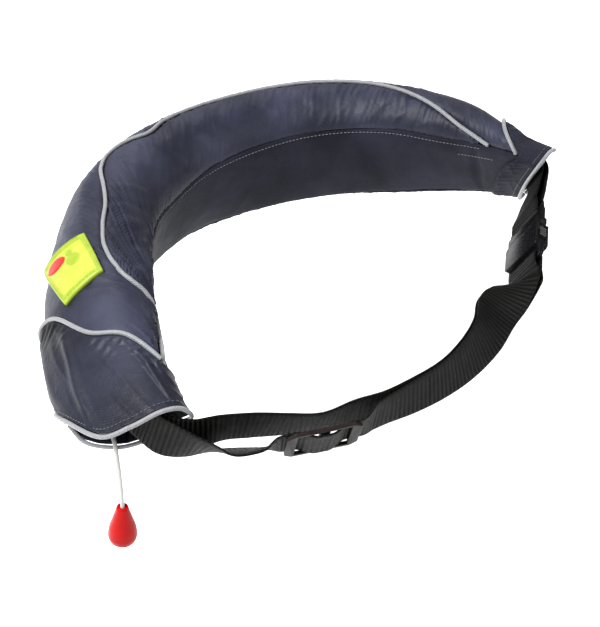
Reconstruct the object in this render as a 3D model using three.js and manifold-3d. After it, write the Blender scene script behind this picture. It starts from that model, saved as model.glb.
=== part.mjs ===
import * as THREE from 'three';
import { mergeVertices } from 'three/addons/utils/BufferGeometryUtils.js';
import Module from 'manifold-3d';

// Inflatable belt pack: a padded pouch that wraps the back and sides of the waist, and a
// webbing belt that closes it in front. Millimetres, +Z up. The origin is the centre of the
// waist opening, level with the middle of the belt. Turn 0 points along +X and 90 to the back.

// Pouch
const waistReach = 216; // waist centre to the middle of the pouch
const pouchTall = 116;
const pouchDeep = 85;
const clothWall = 1.5;
const seat = 0.35; // gap between pieces that lie on each other
const seamGap = 0.35; // gap between the edges of two panels
const faceting = 0.6; // room for flat facets that meet round a bend
const padSlack = 3.3; // further room between the bladder and the panels
const pipingSize = 3.6;
const hemTuck = 2.5; // degrees of panel that go under a sleeve

// Belt
const webWide = 38;
const webWall = 2;
const slotClear = 0.6; // webbing to the bars and rails that hold it

// Strap slider
const sliderLong = 59;
const sliderWall = 3.2;
const sliderBar = 8;
const sliderRail = 4;
const sliderTurn = -136.9;
const sliderBevel = 6;

// Buckle
const buckleLean = 29;
const buckleWide = 47;
const buckleThick = 12.5;
const buckleBar = 5; // round which the webbing goes
const buckleBarWall = 4;
const buckleSlot = 7;
const tongueLong = 23; // arms of the plug, inside the socket
const shellLong = 30;
const plugBlock = 11;
const shellWall = 2.4;
const buckleClear = 0.4;

// Badge, moulded and sewn on the cover
const badgeWall = 2;
const badgeRim = 1.2;

// Pull cord and its handle
const cordSize = 3.5;
const handleLong = 47;
const handleWide = 25;
const handleNeck = 10;

// Middle line and size of the pouch, going round from the right mouth to the left one.
// reach is a share of waistReach, lift and tall of pouchTall, deep of pouchDeep. lean is in
// degrees and brings the lower edge outward.
const pouchRows = [
  { turn: -16, reach: 0.991, lift: 0.075, lean: 12.8, tall: 0.672, deep: 0.146 },
  { turn: -4, reach: 0.994, lift: -0.038, lean: 21.3, tall: 0.694, deep: 0.32 },
  { turn: 12, reach: 0.994, lift: -0.15, lean: 10.8, tall: 0.818, deep: 0.546 },
  { turn: 34, reach: 0.99, lift: -0.256, lean: -2, tall: 0.958, deep: 0.773 },
  { turn: 56, reach: 1.0, lift: -0.319, lean: -4, tall: 1.003, deep: 0.894 },
  { turn: 78, reach: 1.008, lift: -0.331, lean: -1, tall: 1.005, deep: 0.967 },
  { turn: 100, reach: 1.016, lift: -0.267, lean: 3, tall: 0.994, deep: 1.006 },
  { turn: 120, reach: 1.007, lift: -0.17, lean: 7, tall: 0.988, deep: 1.013 },
  { turn: 138, reach: 0.99, lift: -0.083, lean: 20, tall: 0.978, deep: 0.978 },
  { turn: 156, reach: 1.007, lift: -0.009, lean: 36, tall: 0.953, deep: 0.884 },
  { turn: 172, reach: 1.081, lift: 0.044, lean: 46, tall: 0.913, deep: 0.747 },
  { turn: 184, reach: 1.175, lift: 0.072, lean: 51, tall: 0.871, deep: 0.615 },
  { turn: 196, reach: 1.302, lift: 0.084, lean: 54, tall: 0.818, deep: 0.459 },
];

// Outline of one section, from the lower inner edge up the body side, over the top and down
// the outside. across is a share of the depth there, rise of the height. A place on it is
// read as a number from 0 to 13 called girth.
const sectionRows = [
  { across: -0.36, rise: -0.47 },
  { across: -0.47, rise: -0.25 },
  { across: -0.5, rise: 0 },
  { across: -0.48, rise: 0.22 },
  { across: -0.38, rise: 0.38 },
  { across: -0.16, rise: 0.49 },
  { across: 0.12, rise: 0.49 },
  { across: 0.35, rise: 0.38 },
  { across: 0.48, rise: 0.14 },
  { across: 0.5, rise: -0.1 },
  { across: 0.42, rise: -0.33 },
  { across: 0.18, rise: -0.47 },
  { across: -0.12, rise: -0.5 },
];
const girthCount = sectionRows.length;

// Seam between the body-side panel and what lies above it, as a girth at each turn
const backSeamRows = [
  { turn: -16, girth: 4.0 },
  { turn: 3, girth: 3.9 },
  { turn: 9, girth: 3.6 },
  { turn: 19, girth: 3.3 },
  { turn: 35, girth: 3.22 },
  { turn: 52, girth: 3.2 },
  { turn: 81, girth: 3.15 },
  { turn: 99, girth: 3.0 },
  { turn: 112, girth: 2.8 },
  { turn: 120, girth: 2.85 },
  { turn: 129, girth: 3.15 },
  { turn: 142, girth: 3.6 },
  { turn: 156, girth: 4.0 },
  { turn: 168, girth: 4.3 },
  { turn: 176, girth: 4.7 },
  { turn: 186, girth: 5.6 },
  { turn: 200, girth: 6.0 },
];

// Upper edge of the outer cover, which carries the long piping
const coverSeamRows = [
  { turn: 3, girth: 3.9 },
  { turn: 15, girth: 4.4 },
  { turn: 25, girth: 5.0 },
  { turn: 38, girth: 5.6 },
  { turn: 55, girth: 6.1 },
  { turn: 75, girth: 6.3 },
  { turn: 96, girth: 6.25 },
  { turn: 103, girth: 6.0 },
  { turn: 108, girth: 6.45 },
  { turn: 114, girth: 6.6 },
  { turn: 120, girth: 6.4 },
  { turn: 128, girth: 6.05 },
  { turn: 136, girth: 6.0 },
  { turn: 145, girth: 6.3 },
  { turn: 152, girth: 6.5 },
  { turn: 158, girth: 6.35 },
  { turn: 162, girth: 6.0 },
  { turn: 166, girth: 4.9 },
  { turn: 168.5, girth: 4.3 },
];

// Hems and mouths of the two end sleeves: the turn where each lies at whole girths
const sleeveRows = [
  { girth: 0, leftHem: 168, leftMouth: 182.3, rightHem: 5, rightMouth: -1.5 },
  { girth: 1, leftHem: 173, leftMouth: 186.8, rightHem: 3.4, rightMouth: -4 },
  { girth: 2, leftHem: 178, leftMouth: 189.6, rightHem: 1.2, rightMouth: -7.3 },
  { girth: 3, leftHem: 182, leftMouth: 191.2, rightHem: -2.4, rightMouth: -10.6 },
  { girth: 4, leftHem: 185, leftMouth: 193.2, rightHem: -6.1, rightMouth: -12.9 },
  { girth: 5, leftHem: 186.4, leftMouth: 195.6, rightHem: -3.6, rightMouth: -14.2 },
  { girth: 6, leftHem: 184.6, leftMouth: 195.1, rightHem: 2.2, rightMouth: -13.8 },
  { girth: 7, leftHem: 178.6, leftMouth: 194.5, rightHem: 5.6, rightMouth: -10.7 },
  { girth: 8, leftHem: 174.2, leftMouth: 193.6, rightHem: 6.6, rightMouth: -6 },
  { girth: 9, leftHem: 165, leftMouth: 191.4, rightHem: 7, rightMouth: -3.1 },
  { girth: 10, leftHem: 162, leftMouth: 183.8, rightHem: 7, rightMouth: -1.9 },
  { girth: 11, leftHem: 162, leftMouth: 178.6, rightHem: 6.6, rightMouth: -1.5 },
  { girth: 12, leftHem: 164, leftMouth: 179, rightHem: 6, rightMouth: -1 },
];

// The stuffed bladder ends square inside the two sleeves
const bladderEnds = { right: 9, left: 172 };

// The belt's two layers. reach is a share of waistReach, lift, apart and drop of webWide.
// lean turns the webbing about its length: 0 upright, 90 flat, 180 upright with its other
// face outward. apart is the distance between the layers, drop lowers the outer one and
// curl leans it further.
const beltRows = [
  { turn: -186, reach: 1.1, lift: 0.2, lean: 148, apart: 0.09, drop: 0, curl: 0 },
  { turn: -176, reach: 1.145, lift: 0.4, lean: 152, apart: 0.09, drop: 0, curl: 0 },
  { turn: -168, reach: 1.185, lift: 0.5, lean: 158, apart: 0.1, drop: 0, curl: 0 },
  { turn: -163.5, reach: 1.2, lift: 0.42, lean: 168, apart: 0.12, drop: 0, curl: 2 },
  { turn: -159, reach: 1.158, lift: 0.32, lean: 180, apart: 0.2, drop: 0.08, curl: 14 },
  { turn: -155, reach: 1.09, lift: 0.27, lean: 190, apart: 0.36, drop: 0.24, curl: 34 },
  { turn: -150, reach: 1.03, lift: 0.2, lean: 192, apart: 0.4, drop: 0.24, curl: 34 },
  { turn: -144, reach: 0.965, lift: 0.06, lean: 196, apart: 0.34, drop: 0.08, curl: 8 },
  { turn: -136.5, reach: 0.917, lift: 0, lean: 201, apart: 0.3, drop: 0, curl: 0 },
  { turn: -129, reach: 0.865, lift: 0, lean: 192, apart: 0.3, drop: 0, curl: 0 },
  { turn: -121, reach: 0.818, lift: -0.03, lean: 186, apart: 0.14, drop: 0, curl: 0 },
  { turn: -113, reach: 0.788, lift: -0.015, lean: 178, apart: 0.09, drop: 0, curl: 0 },
  { turn: -103, reach: 0.76, lift: 0.01, lean: 171.5, apart: 0.075, drop: 0, curl: 0 },
  { turn: -92, reach: 0.727, lift: 0.03, lean: 159.5, apart: 0.08, drop: 0, curl: 0 },
  { turn: -80, reach: 0.693, lift: 0.04, lean: 142, apart: 0.09, drop: 0, curl: 0 },
  { turn: -70, reach: 0.666, lift: 0.04, lean: 116.5, apart: 0.105, drop: 0, curl: 0 },
  { turn: -61, reach: 0.683, lift: 0.025, lean: 83, apart: 0.12, drop: 0, curl: 0 },
  { turn: -53, reach: 0.724, lift: 0, lean: 46, apart: 0.15, drop: 0, curl: 0 },
];

// The short webbing between the right sleeve and the buckle's plug, in the same columns
const loopRows = [
  { turn: -21, reach: 0.814, lift: -0.03, lean: 22, apart: 0.2, drop: 0, curl: 0 },
  { turn: -15, reach: 0.889, lift: -0.06, lean: 20, apart: 0.17, drop: 0, curl: 0 },
  { turn: -9, reach: 0.977, lift: -0.08, lean: 13, apart: 0.13, drop: 0, curl: 0 },
  { turn: -3, reach: 0.998, lift: -0.16, lean: 4, apart: 0.11, drop: 0, curl: 0 },
  { turn: 9, reach: 0.99, lift: -0.34, lean: 0, apart: 0.09, drop: 0, curl: 0 },
];

// Badge corners on the cover: how far along and around each one lies
const badgeCorners = [
  { turn: 146.6, girth: 7.0 },
  { turn: 144.2, girth: 9.2 },
  { turn: 163.6, girth: 8.35 },
  { turn: 160.2, girth: 6.85 },
];

// Route of the pull cord, from inside the left sleeve, over its lower lip and down
const cordRoute = [
  [-255, -3.6, -15.2],
  [-258, -11.6, -17.2],
  [-261, -19.6, -19.2],
  [-263.5, -25.6, -20.7],
  [-265.5, -30.1, -22.2],
  [-267, -33.1, -25.2],
  [-267.7, -34.6, -29.2],
  [-268, -35.2, -34.2],
  [-268.1, -35.4, -40],
  [-268.2, -35.5, -47],
  [-268.3, -35.4, -54],
  [-268.4, -35.3, -61],
  [-268.6, -35.2, -68],
  [-268.7, -35.1, -75],
  [-268.9, -35, -82],
  [-269.1, -34.8, -89],
  [-269.4, -34.6, -95],
  [-269.8, -34.3, -101],
];

const radians = THREE.MathUtils.degToRad;
const upward = new THREE.Vector3(0, 0, 1);

// Smooth value between rows whose places are uneven, straight on beyond both ends
function read(rows, place, column, key = 'turn') {
  const last = rows.length - 1;
  const sign = rows[last][key] > rows[0][key] ? 1 : -1;
  let i = 0;
  while (i < last - 1 && sign * place > sign * rows[i + 1][key]) i += 1;
  const span = (a, b) => rows[b][key] - rows[a][key];
  const rise = (a, b) => (rows[b][column] - rows[a][column]) / span(a, b);
  const slope = (k) => {
    if (k === 0) return rise(0, 1);
    if (k === last) return rise(last - 1, last);
    const before = span(k - 1, k);
    const after = span(k, k + 1);
    return (rise(k - 1, k) * after + rise(k, k + 1) * before) / (before + after);
  };
  const gap = span(i, i + 1);
  const t = (place - rows[i][key]) / gap;
  if (t < 0) return rows[i][column] + slope(i) * gap * t;
  if (t > 1) return rows[i + 1][column] + slope(i + 1) * gap * (t - 1);
  const t2 = t * t;
  const t3 = t2 * t;
  return rows[i][column] * (2 * t3 - 3 * t2 + 1) + slope(i) * gap * (t3 - 2 * t2 + t)
    + rows[i + 1][column] * (3 * t2 - 2 * t3) + slope(i + 1) * gap * (t3 - t2);
}

// The same round a closed list, one row to each whole number
function readRound(rows, place, column) {
  const count = rows.length;
  const from = Math.floor(place);
  const t = place - from;
  const value = (k) => rows[(((from + k) % count) + count) % count][column];
  const slopeA = (value(1) - value(-1)) / 2;
  const slopeB = (value(2) - value(0)) / 2;
  const t2 = t * t;
  const t3 = t2 * t;
  return value(0) * (2 * t3 - 3 * t2 + 1) + slopeA * (t3 - 2 * t2 + t)
    + value(1) * (3 * t2 - 2 * t3) + slopeB * (t3 - t2);
}

function ease(from, to, at) {
  const t = THREE.MathUtils.clamp((at - from) / (to - from), 0, 1);
  return t * t * (3 - 2 * t);
}

function polar(reach, turn, height) {
  return new THREE.Vector3(reach * Math.cos(radians(turn)), reach * Math.sin(radians(turn)), height);
}

// Pouch surface

function pouchMiddle(turn) {
  return polar(read(pouchRows, turn, 'reach') * waistReach, turn, read(pouchRows, turn, 'lift') * pouchTall);
}

function pouchFrame(turn) {
  const ahead = pouchMiddle(turn + 0.5).sub(pouchMiddle(turn - 0.5)).setZ(0).normalize();
  const out = new THREE.Vector3(ahead.y, -ahead.x, 0);
  const lean = radians(read(pouchRows, turn, 'lean'));
  const deepWay = out.clone().multiplyScalar(Math.cos(lean)).addScaledVector(upward, Math.sin(lean));
  const tallWay = out.clone().multiplyScalar(-Math.sin(lean)).addScaledVector(upward, Math.cos(lean));
  return {
    middle: pouchMiddle(turn),
    deepWay,
    tallWay,
    deep: read(pouchRows, turn, 'deep') * pouchDeep,
    tall: read(pouchRows, turn, 'tall') * pouchTall,
  };
}

function sectionPoint(frame, girth) {
  return new THREE.Vector2(
    readRound(sectionRows, girth, 'across') * frame.deep,
    readRound(sectionRows, girth, 'rise') * frame.tall,
  );
}

// A point at a turn and a girth, raised from the pouch's face by proud
function pouchPoint(turn, girth, proud) {
  const frame = pouchFrame(turn);
  const point = sectionPoint(frame, girth);
  const along = sectionPoint(frame, girth + 0.2).sub(sectionPoint(frame, girth - 0.2)).normalize();
  point.add(new THREE.Vector2(-along.y, along.x).multiplyScalar(proud));
  return frame.middle.clone()
    .addScaledVector(frame.deepWay, point.x)
    .addScaledVector(frame.tallWay, point.y);
}

// Degrees and girth steps that make one millimetre at a place
function turnPerMm(turn, girth) {
  return 1 / pouchPoint(turn - 0.5, girth, 0).distanceTo(pouchPoint(turn + 0.5, girth, 0));
}

function girthPerMm(turn, girth) {
  return 0.2 / pouchPoint(turn, girth - 0.1, 0).distanceTo(pouchPoint(turn, girth + 0.1, 0));
}

const leftHem = (girth) => readRound(sleeveRows, girth, 'leftHem');
const leftMouth = (girth) => readRound(sleeveRows, girth, 'leftMouth');
const rightHem = (girth) => readRound(sleeveRows, girth, 'rightHem');
const rightMouth = (girth) => readRound(sleeveRows, girth, 'rightMouth');
const backSeam = (turn) => read(backSeamRows, turn, 'girth');
const crescent = { right: coverSeamRows[0].turn, left: coverSeamRows[coverSeamRows.length - 1].turn };

function coverSeam(turn) {
  if (turn <= crescent.right || turn >= crescent.left) return backSeam(turn);
  return read(coverSeamRows, turn, 'girth');
}

// Closed bodies

function bodyFrom(points, faces) {
  const geometry = new THREE.BufferGeometry();
  geometry.setAttribute('position', new THREE.Float32BufferAttribute(points.flatMap((p) => [p.x, p.y, p.z]), 3));
  let volume = 0;
  for (const [a, b, c] of faces) {
    volume += points[a].dot(new THREE.Vector3().crossVectors(points[b], points[c]));
  }
  const turned = volume < 0 ? faces.map(([a, b, c]) => [a, c, b]) : faces;
  geometry.setIndex(turned.flat());
  geometry.computeVertexNormals();
  return geometry;
}

// Rings of equal length skinned into a bar with flat ends
function barFrom(rings, back) {
  const size = rings[0].length;
  const faces = [];
  const quad = (a, b, c, d, other) => {
    faces.push(...(other ? [[a, b, d], [b, c, d]] : [[a, b, c], [a, c, d]]));
  };
  for (let i = 0; i < rings.length - 1; i += 1) {
    for (let j = 0; j < size; j += 1) {
      const next = (j + 1) % size;
      const other = (j >= 2) === (i >= back);
      quad(i * size + j, (i + 1) * size + j, (i + 1) * size + next, i * size + next, other);
    }
  }
  const points = rings.flat();
  [0, rings.length - 1].forEach((ring, end) => {
    const middle = points.length;
    points.push(rings[ring].reduce((sum, p) => sum.add(p), new THREE.Vector3()).divideScalar(size));
    for (let j = 0; j < size; j += 1) {
      const pair = [ring * size + j, ring * size + ((j + 1) % size)];
      faces.push(end === 0 ? [middle, ...pair] : [middle, pair[1], pair[0]]);
    }
  });
  return bodyFrom(points, faces);
}

// Two matching grids of points, one on each face of a sheet, closed at the edges. A round
// sheet has no first and last edge across.
function sheetFrom(outer, inner, round) {
  const rows = outer.length;
  const size = outer[0].length;
  const points = [...outer.flat(), ...inner.flat()];
  const shift = rows * size;
  const faces = [];
  const quad = (a, b, c, d) => faces.push([a, b, c], [a, c, d]);
  const spans = round ? size : size - 1;
  for (let i = 0; i < rows - 1; i += 1) {
    for (let j = 0; j < spans; j += 1) {
      const next = (j + 1) % size;
      const [a, b, c, d] = [i * size + j, i * size + next, (i + 1) * size + next, (i + 1) * size + j];
      quad(a, b, c, d);
      quad(a + shift, d + shift, c + shift, b + shift);
    }
    if (!round) {
      const [a, b] = [i * size, (i + 1) * size];
      quad(a, b, b + shift, a + shift);
      quad(a + size - 1, a + shift + size - 1, b + shift + size - 1, b + size - 1);
    }
  }
  for (let j = 0; j < spans; j += 1) {
    const next = (j + 1) % size;
    quad(j, j + shift, next + shift, next);
    const end = (rows - 1) * size;
    quad(end + j, end + next, end + next + shift, end + j + shift);
  }
  return bodyFrom(points, faces);
}

function gridOf(rows, columns, place) {
  return Array.from({ length: rows + 1 }, (_, i) => (
    Array.from({ length: columns + 1 }, (_unused, j) => place(i / rows, j / columns))));
}

// A panel of the pouch between two girths and two turns, each a function of the other
function panelFrom(turns, girths, rows, columns) {
  const spot = (a, b) => {
    const rough = THREE.MathUtils.lerp(turns[0](girths[0](0)), turns[1](girths[1](180)), a);
    const girthThere = THREE.MathUtils.lerp(girths[0](rough), girths[1](rough), b);
    const turn = THREE.MathUtils.lerp(turns[0](girthThere), turns[1](girthThere), a);
    return [turn, THREE.MathUtils.lerp(girths[0](turn), girths[1](turn), b)];
  };
  return sheetFrom(
    gridOf(rows, columns, (a, b) => pouchPoint(...spot(a, b), 0)),
    gridOf(rows, columns, (a, b) => pouchPoint(...spot(a, b), -clothWall)),
    false,
  );
}

function tubeAlong(points, size, sides, steps, closed = false) {
  const path = new THREE.CatmullRomCurve3(points, closed, 'centripetal');
  const shape = new THREE.Shape(Array.from({ length: sides }, (_, k) => new THREE.Vector2(
    Math.cos((2 * Math.PI * k) / sides) * (size / 2),
    Math.sin((2 * Math.PI * k) / sides) * (size / 2),
  )));
  return new THREE.ExtrudeGeometry(shape, { steps, extrudePath: path, curveSegments: 1 });
}

// Cutting and joining

const wasm = await Module();
wasm.setup();

function solidOf(geometry) {
  const bare = geometry.clone();
  bare.deleteAttribute('normal');
  bare.deleteAttribute('uv');
  const merged = mergeVertices(bare, 1e-4);
  return new wasm.Manifold(new wasm.Mesh({
    numProp: 3,
    vertProperties: new Float32Array(merged.attributes.position.array),
    triVerts: new Uint32Array(merged.index.array),
  }));
}

function geometryOf(solid) {
  const mesh = solid.getMesh();
  const geometry = new THREE.BufferGeometry();
  geometry.setAttribute('position', new THREE.BufferAttribute(new Float32Array(mesh.vertProperties), 3));
  geometry.setIndex(Array.from(mesh.triVerts));
  geometry.computeVertexNormals();
  return geometry;
}

function block(long, wide, thick, x, y, z) {
  return solidOf(new THREE.BoxGeometry(long, wide, thick).translate(x, y, z));
}

// A flat plate with its corners cut off or rounded, thick along z and centred on it
function plate(outline, thick) {
  const shape = new THREE.Shape(outline.map(([x, y]) => new THREE.Vector2(x, y)));
  const geometry = new THREE.ExtrudeGeometry(shape, { depth: thick, bevelEnabled: false });
  return solidOf(geometry.translate(0, 0, -thick / 2));
}

function cutCorners(long, wide, cut, x) {
  const [a, b] = [long / 2, wide / 2];
  return [[-a + cut, -b], [a - cut, -b], [a, -b + cut], [a, b - cut], [a - cut, b], [-a + cut, b],
    [-a, b - cut], [-a, -b + cut]].map(([s, w]) => [s + x, w]);
}

// Belt

function beltSpot(rows, turn) {
  const at = (t) => polar(read(rows, t, 'reach') * waistReach, t, read(rows, t, 'lift') * webWide);
  const ahead = at(turn + 0.5).sub(at(turn - 0.5)).setZ(0).normalize();
  return { middle: at(turn), ahead, out: new THREE.Vector3(ahead.y, -ahead.x, 0) };
}

// The webbing's width and face directions at a lean
function webWays(out, lean) {
  const angle = radians(lean);
  return {
    wide: upward.clone().multiplyScalar(Math.cos(angle)).addScaledVector(out, Math.sin(angle)),
    face: out.clone().multiplyScalar(-Math.cos(angle)).addScaledVector(upward, Math.sin(angle)),
  };
}

// One layer of webbing: side 1 is the outer layer and -1 the inner one
function layerSpot(rows, turn, side) {
  const { middle, ahead, out } = beltSpot(rows, turn);
  const { face } = webWays(out, read(rows, turn, 'lean'));
  const curl = side > 0 ? read(rows, turn, 'curl') : 0;
  const point = middle.addScaledVector(face, (side * read(rows, turn, 'apart') * webWide) / 2);
  if (side > 0) point.addScaledVector(upward, -read(rows, turn, 'drop') * webWide);
  const ways = webWays(out, read(rows, turn, 'lean') + curl);
  return { point, ahead, wide: ways.wide, face: ways.face.multiplyScalar(side) };
}

const sliderSpot = layerSpot(beltRows, sliderTurn, 1);
const sliderRise = sliderWall / 2 + webWall / 2 + slotClear; // slider plane above the webbing

// Draws the outer layer straight through the slider and up over its middle bar
function threadSlider(spot) {
  const along = spot.point.clone().sub(sliderSpot.point).dot(sliderSpot.ahead);
  const hold = 1 - ease(sliderLong / 2, sliderLong / 2 + 16, Math.abs(along));
  const straight = sliderSpot.point.clone().addScaledVector(sliderSpot.ahead, along);
  spot.point.lerp(straight, hold);
  const bump = 1 - ease(sliderBar * 0.6, sliderLong / 2 - sliderBar, Math.abs(along));
  spot.point.addScaledVector(sliderSpot.face, 2 * sliderRise * bump);
  spot.wide.lerp(sliderSpot.wide, hold).normalize();
  return spot;
}

function webRing({ point, wide, face }) {
  return [[-1, -1], [1, -1], [1, 1], [-1, 1]].map(([w, f]) => point.clone()
    .addScaledVector(wide, (w * webWide) / 2)
    .addScaledVector(face, (f * webWall) / 2));
}

function turnsFrom(from, to, step) {
  const count = Math.round(Math.abs(to - from) / step);
  return Array.from({ length: count + 1 }, (_, i) => from + ((to - from) * i) / count);
}

// Faces are squared to the path once the points are known
function squareFaces(spots) {
  spots.forEach((spot, i) => {
    const before = spots[Math.max(i - 1, 0)].point;
    const after = spots[Math.min(i + 1, spots.length - 1)].point;
    const along = after.clone().sub(before).normalize();
    const face = new THREE.Vector3().crossVectors(along, spot.wide).normalize();
    if (face.dot(spot.face) < 0) face.negate();
    spot.wide.addScaledVector(along, -spot.wide.dot(along)).normalize();
    spot.face.copy(face);
  });
  return spots;
}

// Buckle frame: s runs from the plug to the socket, w across, and the face looks inward
const loopEnd = loopRows[0].turn;
const beltEnd = beltRows[beltRows.length - 1].turn;
const webEnd = (rows, turn) => polar(read(rows, turn, 'reach') * waistReach, turn, 0);
const buckleMiddle = webEnd(beltRows, beltEnd).add(webEnd(loopRows, loopEnd)).multiplyScalar(0.5);
const buckleAhead = webEnd(beltRows, beltEnd).sub(webEnd(loopRows, loopEnd)).normalize();
const buckleOut = new THREE.Vector3(-buckleAhead.y, buckleAhead.x, 0);
const buckleWays = webWays(buckleOut, buckleLean);
const plugEnd = -(tongueLong / 2 + plugBlock + buckleSlot + buckleBar);
const socketEnd = shellLong - tongueLong / 2 + buckleSlot + buckleBar;

function bucklePoint(s, w, f) {
  return buckleMiddle.clone().addScaledVector(buckleAhead, s)
    .addScaledVector(buckleWays.wide, w).addScaledVector(buckleWays.face, f);
}

// Half a turn of webbing round a bar of the buckle, way 1 for the socket and -1 for the plug
function roundBar(way) {
  const barMiddle = way > 0 ? socketEnd - buckleBar / 2 : plugEnd + buckleBar / 2;
  const radius = buckleBarWall / 2 + webWall / 2 + slotClear;
  const reach = buckleBar / 2 + webWall / 2 + slotClear;
  const spot = (along, rise, face) => ({
    point: bucklePoint(barMiddle - way * along, 0, rise),
    wide: buckleWays.wide.clone(),
    face,
  });
  const square = (value) => Math.sign(value) * Math.abs(value) ** 0.55;
  const bend = turnsFrom(-75, 75, 30).map((angle) => {
    const [c, s] = [Math.cos(radians(angle)), Math.sin(radians(angle))];
    const face = buckleWays.face.clone().multiplyScalar(s).addScaledVector(buckleAhead, -way * c);
    return spot(reach * square(c), radius * square(s), face);
  });
  const straight = (side, along) => spot(-along, side * radius, buckleWays.face.clone().multiplyScalar(side));
  return [straight(-1, 10), straight(-1, 3), ...bend, straight(1, 3), straight(1, 10)];
}

const sleeveStart = 360 - bladderEnds.left;

const strap = (rows, turns, way, thread) => {
  const fine = turns.flatMap((turn, i) => {
    const near = thread && i < turns.length - 1 && Math.abs(turn - sliderTurn) < 16;
    return near ? [turn, (turn + turns[i + 1]) / 2] : [turn];
  });
  const innerRun = turns.map((turn) => layerSpot(rows, turn, -1));
  const outerRun = fine.map((turn) => layerSpot(rows, turn, 1)).reverse();
  const bar = roundBar(way);
  if (thread) outerRun.forEach(threadSlider);
  const spots = squareFaces([...innerRun, ...bar, ...outerRun]);
  return barFrom(spots.map(webRing), innerRun.length + bar.length);
};

const beltBend = 5.5; // turn that the belt takes to bend straight into the buckle
const beltWebbing = () => strap(beltRows, turnsFrom(-sleeveStart + 3, beltEnd - beltBend, 2.4), 1, true);
const loopWebbing = () => strap(loopRows, turnsFrom(bladderEnds.right - 3, loopEnd, 2.4), -1, false);

// Puts a body drawn flat, long along x and wide along y, on a spot of the belt
function placed(geometry, point, ahead, wide, face) {
  return geometry.applyMatrix4(new THREE.Matrix4().makeBasis(ahead, wide, face).setPosition(point));
}

const slider = () => {
  const inside = webWide + 2 * slotClear;
  const slot = (sliderLong - 3 * sliderBar) / 2;
  const body = [-1, 1].reduce(
    (solid, side) => solid.subtract(block(slot, inside, 2 * sliderWall, (side * (sliderBar + slot)) / 2, 0, 0)),
    plate(cutCorners(sliderLong, inside + 2 * sliderRail, sliderBevel, 0), sliderWall),
  );
  const point = sliderSpot.point.clone().addScaledVector(sliderSpot.face, sliderRise);
  const across = new THREE.Vector3().crossVectors(sliderSpot.face, sliderSpot.ahead);
  return placed(geometryOf(body), point, sliderSpot.ahead, across, sliderSpot.face);
};

const inBuckle = (solid) => {
  const across = new THREE.Vector3().crossVectors(buckleWays.face, buckleAhead);
  return placed(geometryOf(solid), buckleMiddle, buckleAhead, across, buckleWays.face);
};

const webSlot = webWide + 2 * slotClear;
const plugShoulder = plugEnd + buckleBar + buckleSlot;
const socketShoulder = socketEnd - buckleBar - buckleSlot;
const armWide = 8;
const armThick = buckleThick - 2 * shellWall - 2 * buckleClear;

const bucklePlug = () => {
  const frameLong = plugBlock + buckleSlot + buckleBar;
  let body = plate(cutCorners(frameLong, buckleWide, 3, plugEnd + frameLong / 2), buckleBarWall);
  body = body.subtract(block(buckleSlot, webSlot, buckleThick, plugShoulder - buckleSlot / 2, 0, 0));
  body = body.add(plate(cutCorners(plugBlock, buckleWide - 4, 2, plugShoulder + plugBlock / 2), buckleThick - 2));
  [-1, 1].forEach((side) => {
    const edge = (buckleWide / 2) * side;
    const arm = [
      [plugShoulder + 2, edge - side * 3], [-4, edge - side * 2], [1, edge + side * 0.6],
      [tongueLong / 2 - 4, edge + side * 0.6], [tongueLong / 2 - 1, edge - side * 3],
      [tongueLong / 2 - 3, edge - side * armWide], [plugShoulder + 2, edge - side * armWide],
    ];
    body = body.add(plate(side > 0 ? arm : arm.reverse(), armThick));
  });
  return inBuckle(body.add(block(tongueLong, 6, armThick - 1, -1, 0, 0)));
};

const buckleSocket = () => {
  const start = plugShoulder + plugBlock + buckleClear;
  const long = socketShoulder - start;
  const frameLong = long + buckleSlot + buckleBar;
  let body = plate(cutCorners(long, buckleWide, 2.5, start + long / 2), buckleThick);
  body = body.add(plate(cutCorners(frameLong, buckleWide, 3, start + frameLong / 2), buckleBarWall));
  body = body.subtract(block(buckleSlot, webSlot, buckleThick, socketShoulder + buckleSlot / 2, 0, 0));
  const pocket = tongueLong / 2 + buckleClear - start;
  [-1, 1].forEach((side) => {
    const wide = buckleWide / 2;
    body = body.subtract(block(
      pocket + 1, wide, buckleThick - 2 * shellWall,
      start + (pocket - 1) / 2, side * (buckleWide / 2 - armWide - buckleClear - 1.5 + wide / 2), 0,
    ));
  });
  body = body.subtract(block(pocket + 2, 6 + 2 * buckleClear, buckleThick - 2 * shellWall, start + pocket / 2, 0, 0));
  return inBuckle(body);
};

// Pouch pieces

const bladder = () => {
  const inset = clothWall + seat + padSlack;
  const rings = turnsFrom(bladderEnds.right, bladderEnds.left, 4.6).map((turn) => (
    Array.from({ length: 20 }, (_, j) => pouchPoint(turn, (j * girthCount) / 20, -inset))));
  return barFrom(rings);
};

const besidePiping = pipingSize / 2 + 3.6 * faceting;
const nudge = (turn, girth, mm) => girth + mm * girthPerMm(turn, girth);
const hemsOfPanels = [(girth) => rightHem(girth) + hemTuck * -1, (girth) => leftHem(girth) + hemTuck];

const outerCover = () => panelFrom(hemsOfPanels, [
  (turn) => nudge(turn, coverSeam(turn), turn > crescent.right ? besidePiping : seamGap / 2),
  (turn) => nudge(turn, girthCount, -seamGap / 2),
], 42, 10);

const backPanel = () => panelFrom(hemsOfPanels, [
  (turn) => nudge(turn, 0, seamGap / 2),
  (turn) => nudge(turn, backSeam(turn), turn > crescent.left - 3 ? -besidePiping : -seamGap / 2),
], 44, 4);

const topGusset = () => panelFrom([() => crescent.right + 5, () => crescent.left - 4], [
  (turn) => nudge(turn, backSeam(turn), seamGap / 2),
  (turn) => nudge(turn, coverSeam(turn), -besidePiping),
], 40, 4);

const sleeveSeat = seat + faceting;

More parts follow.
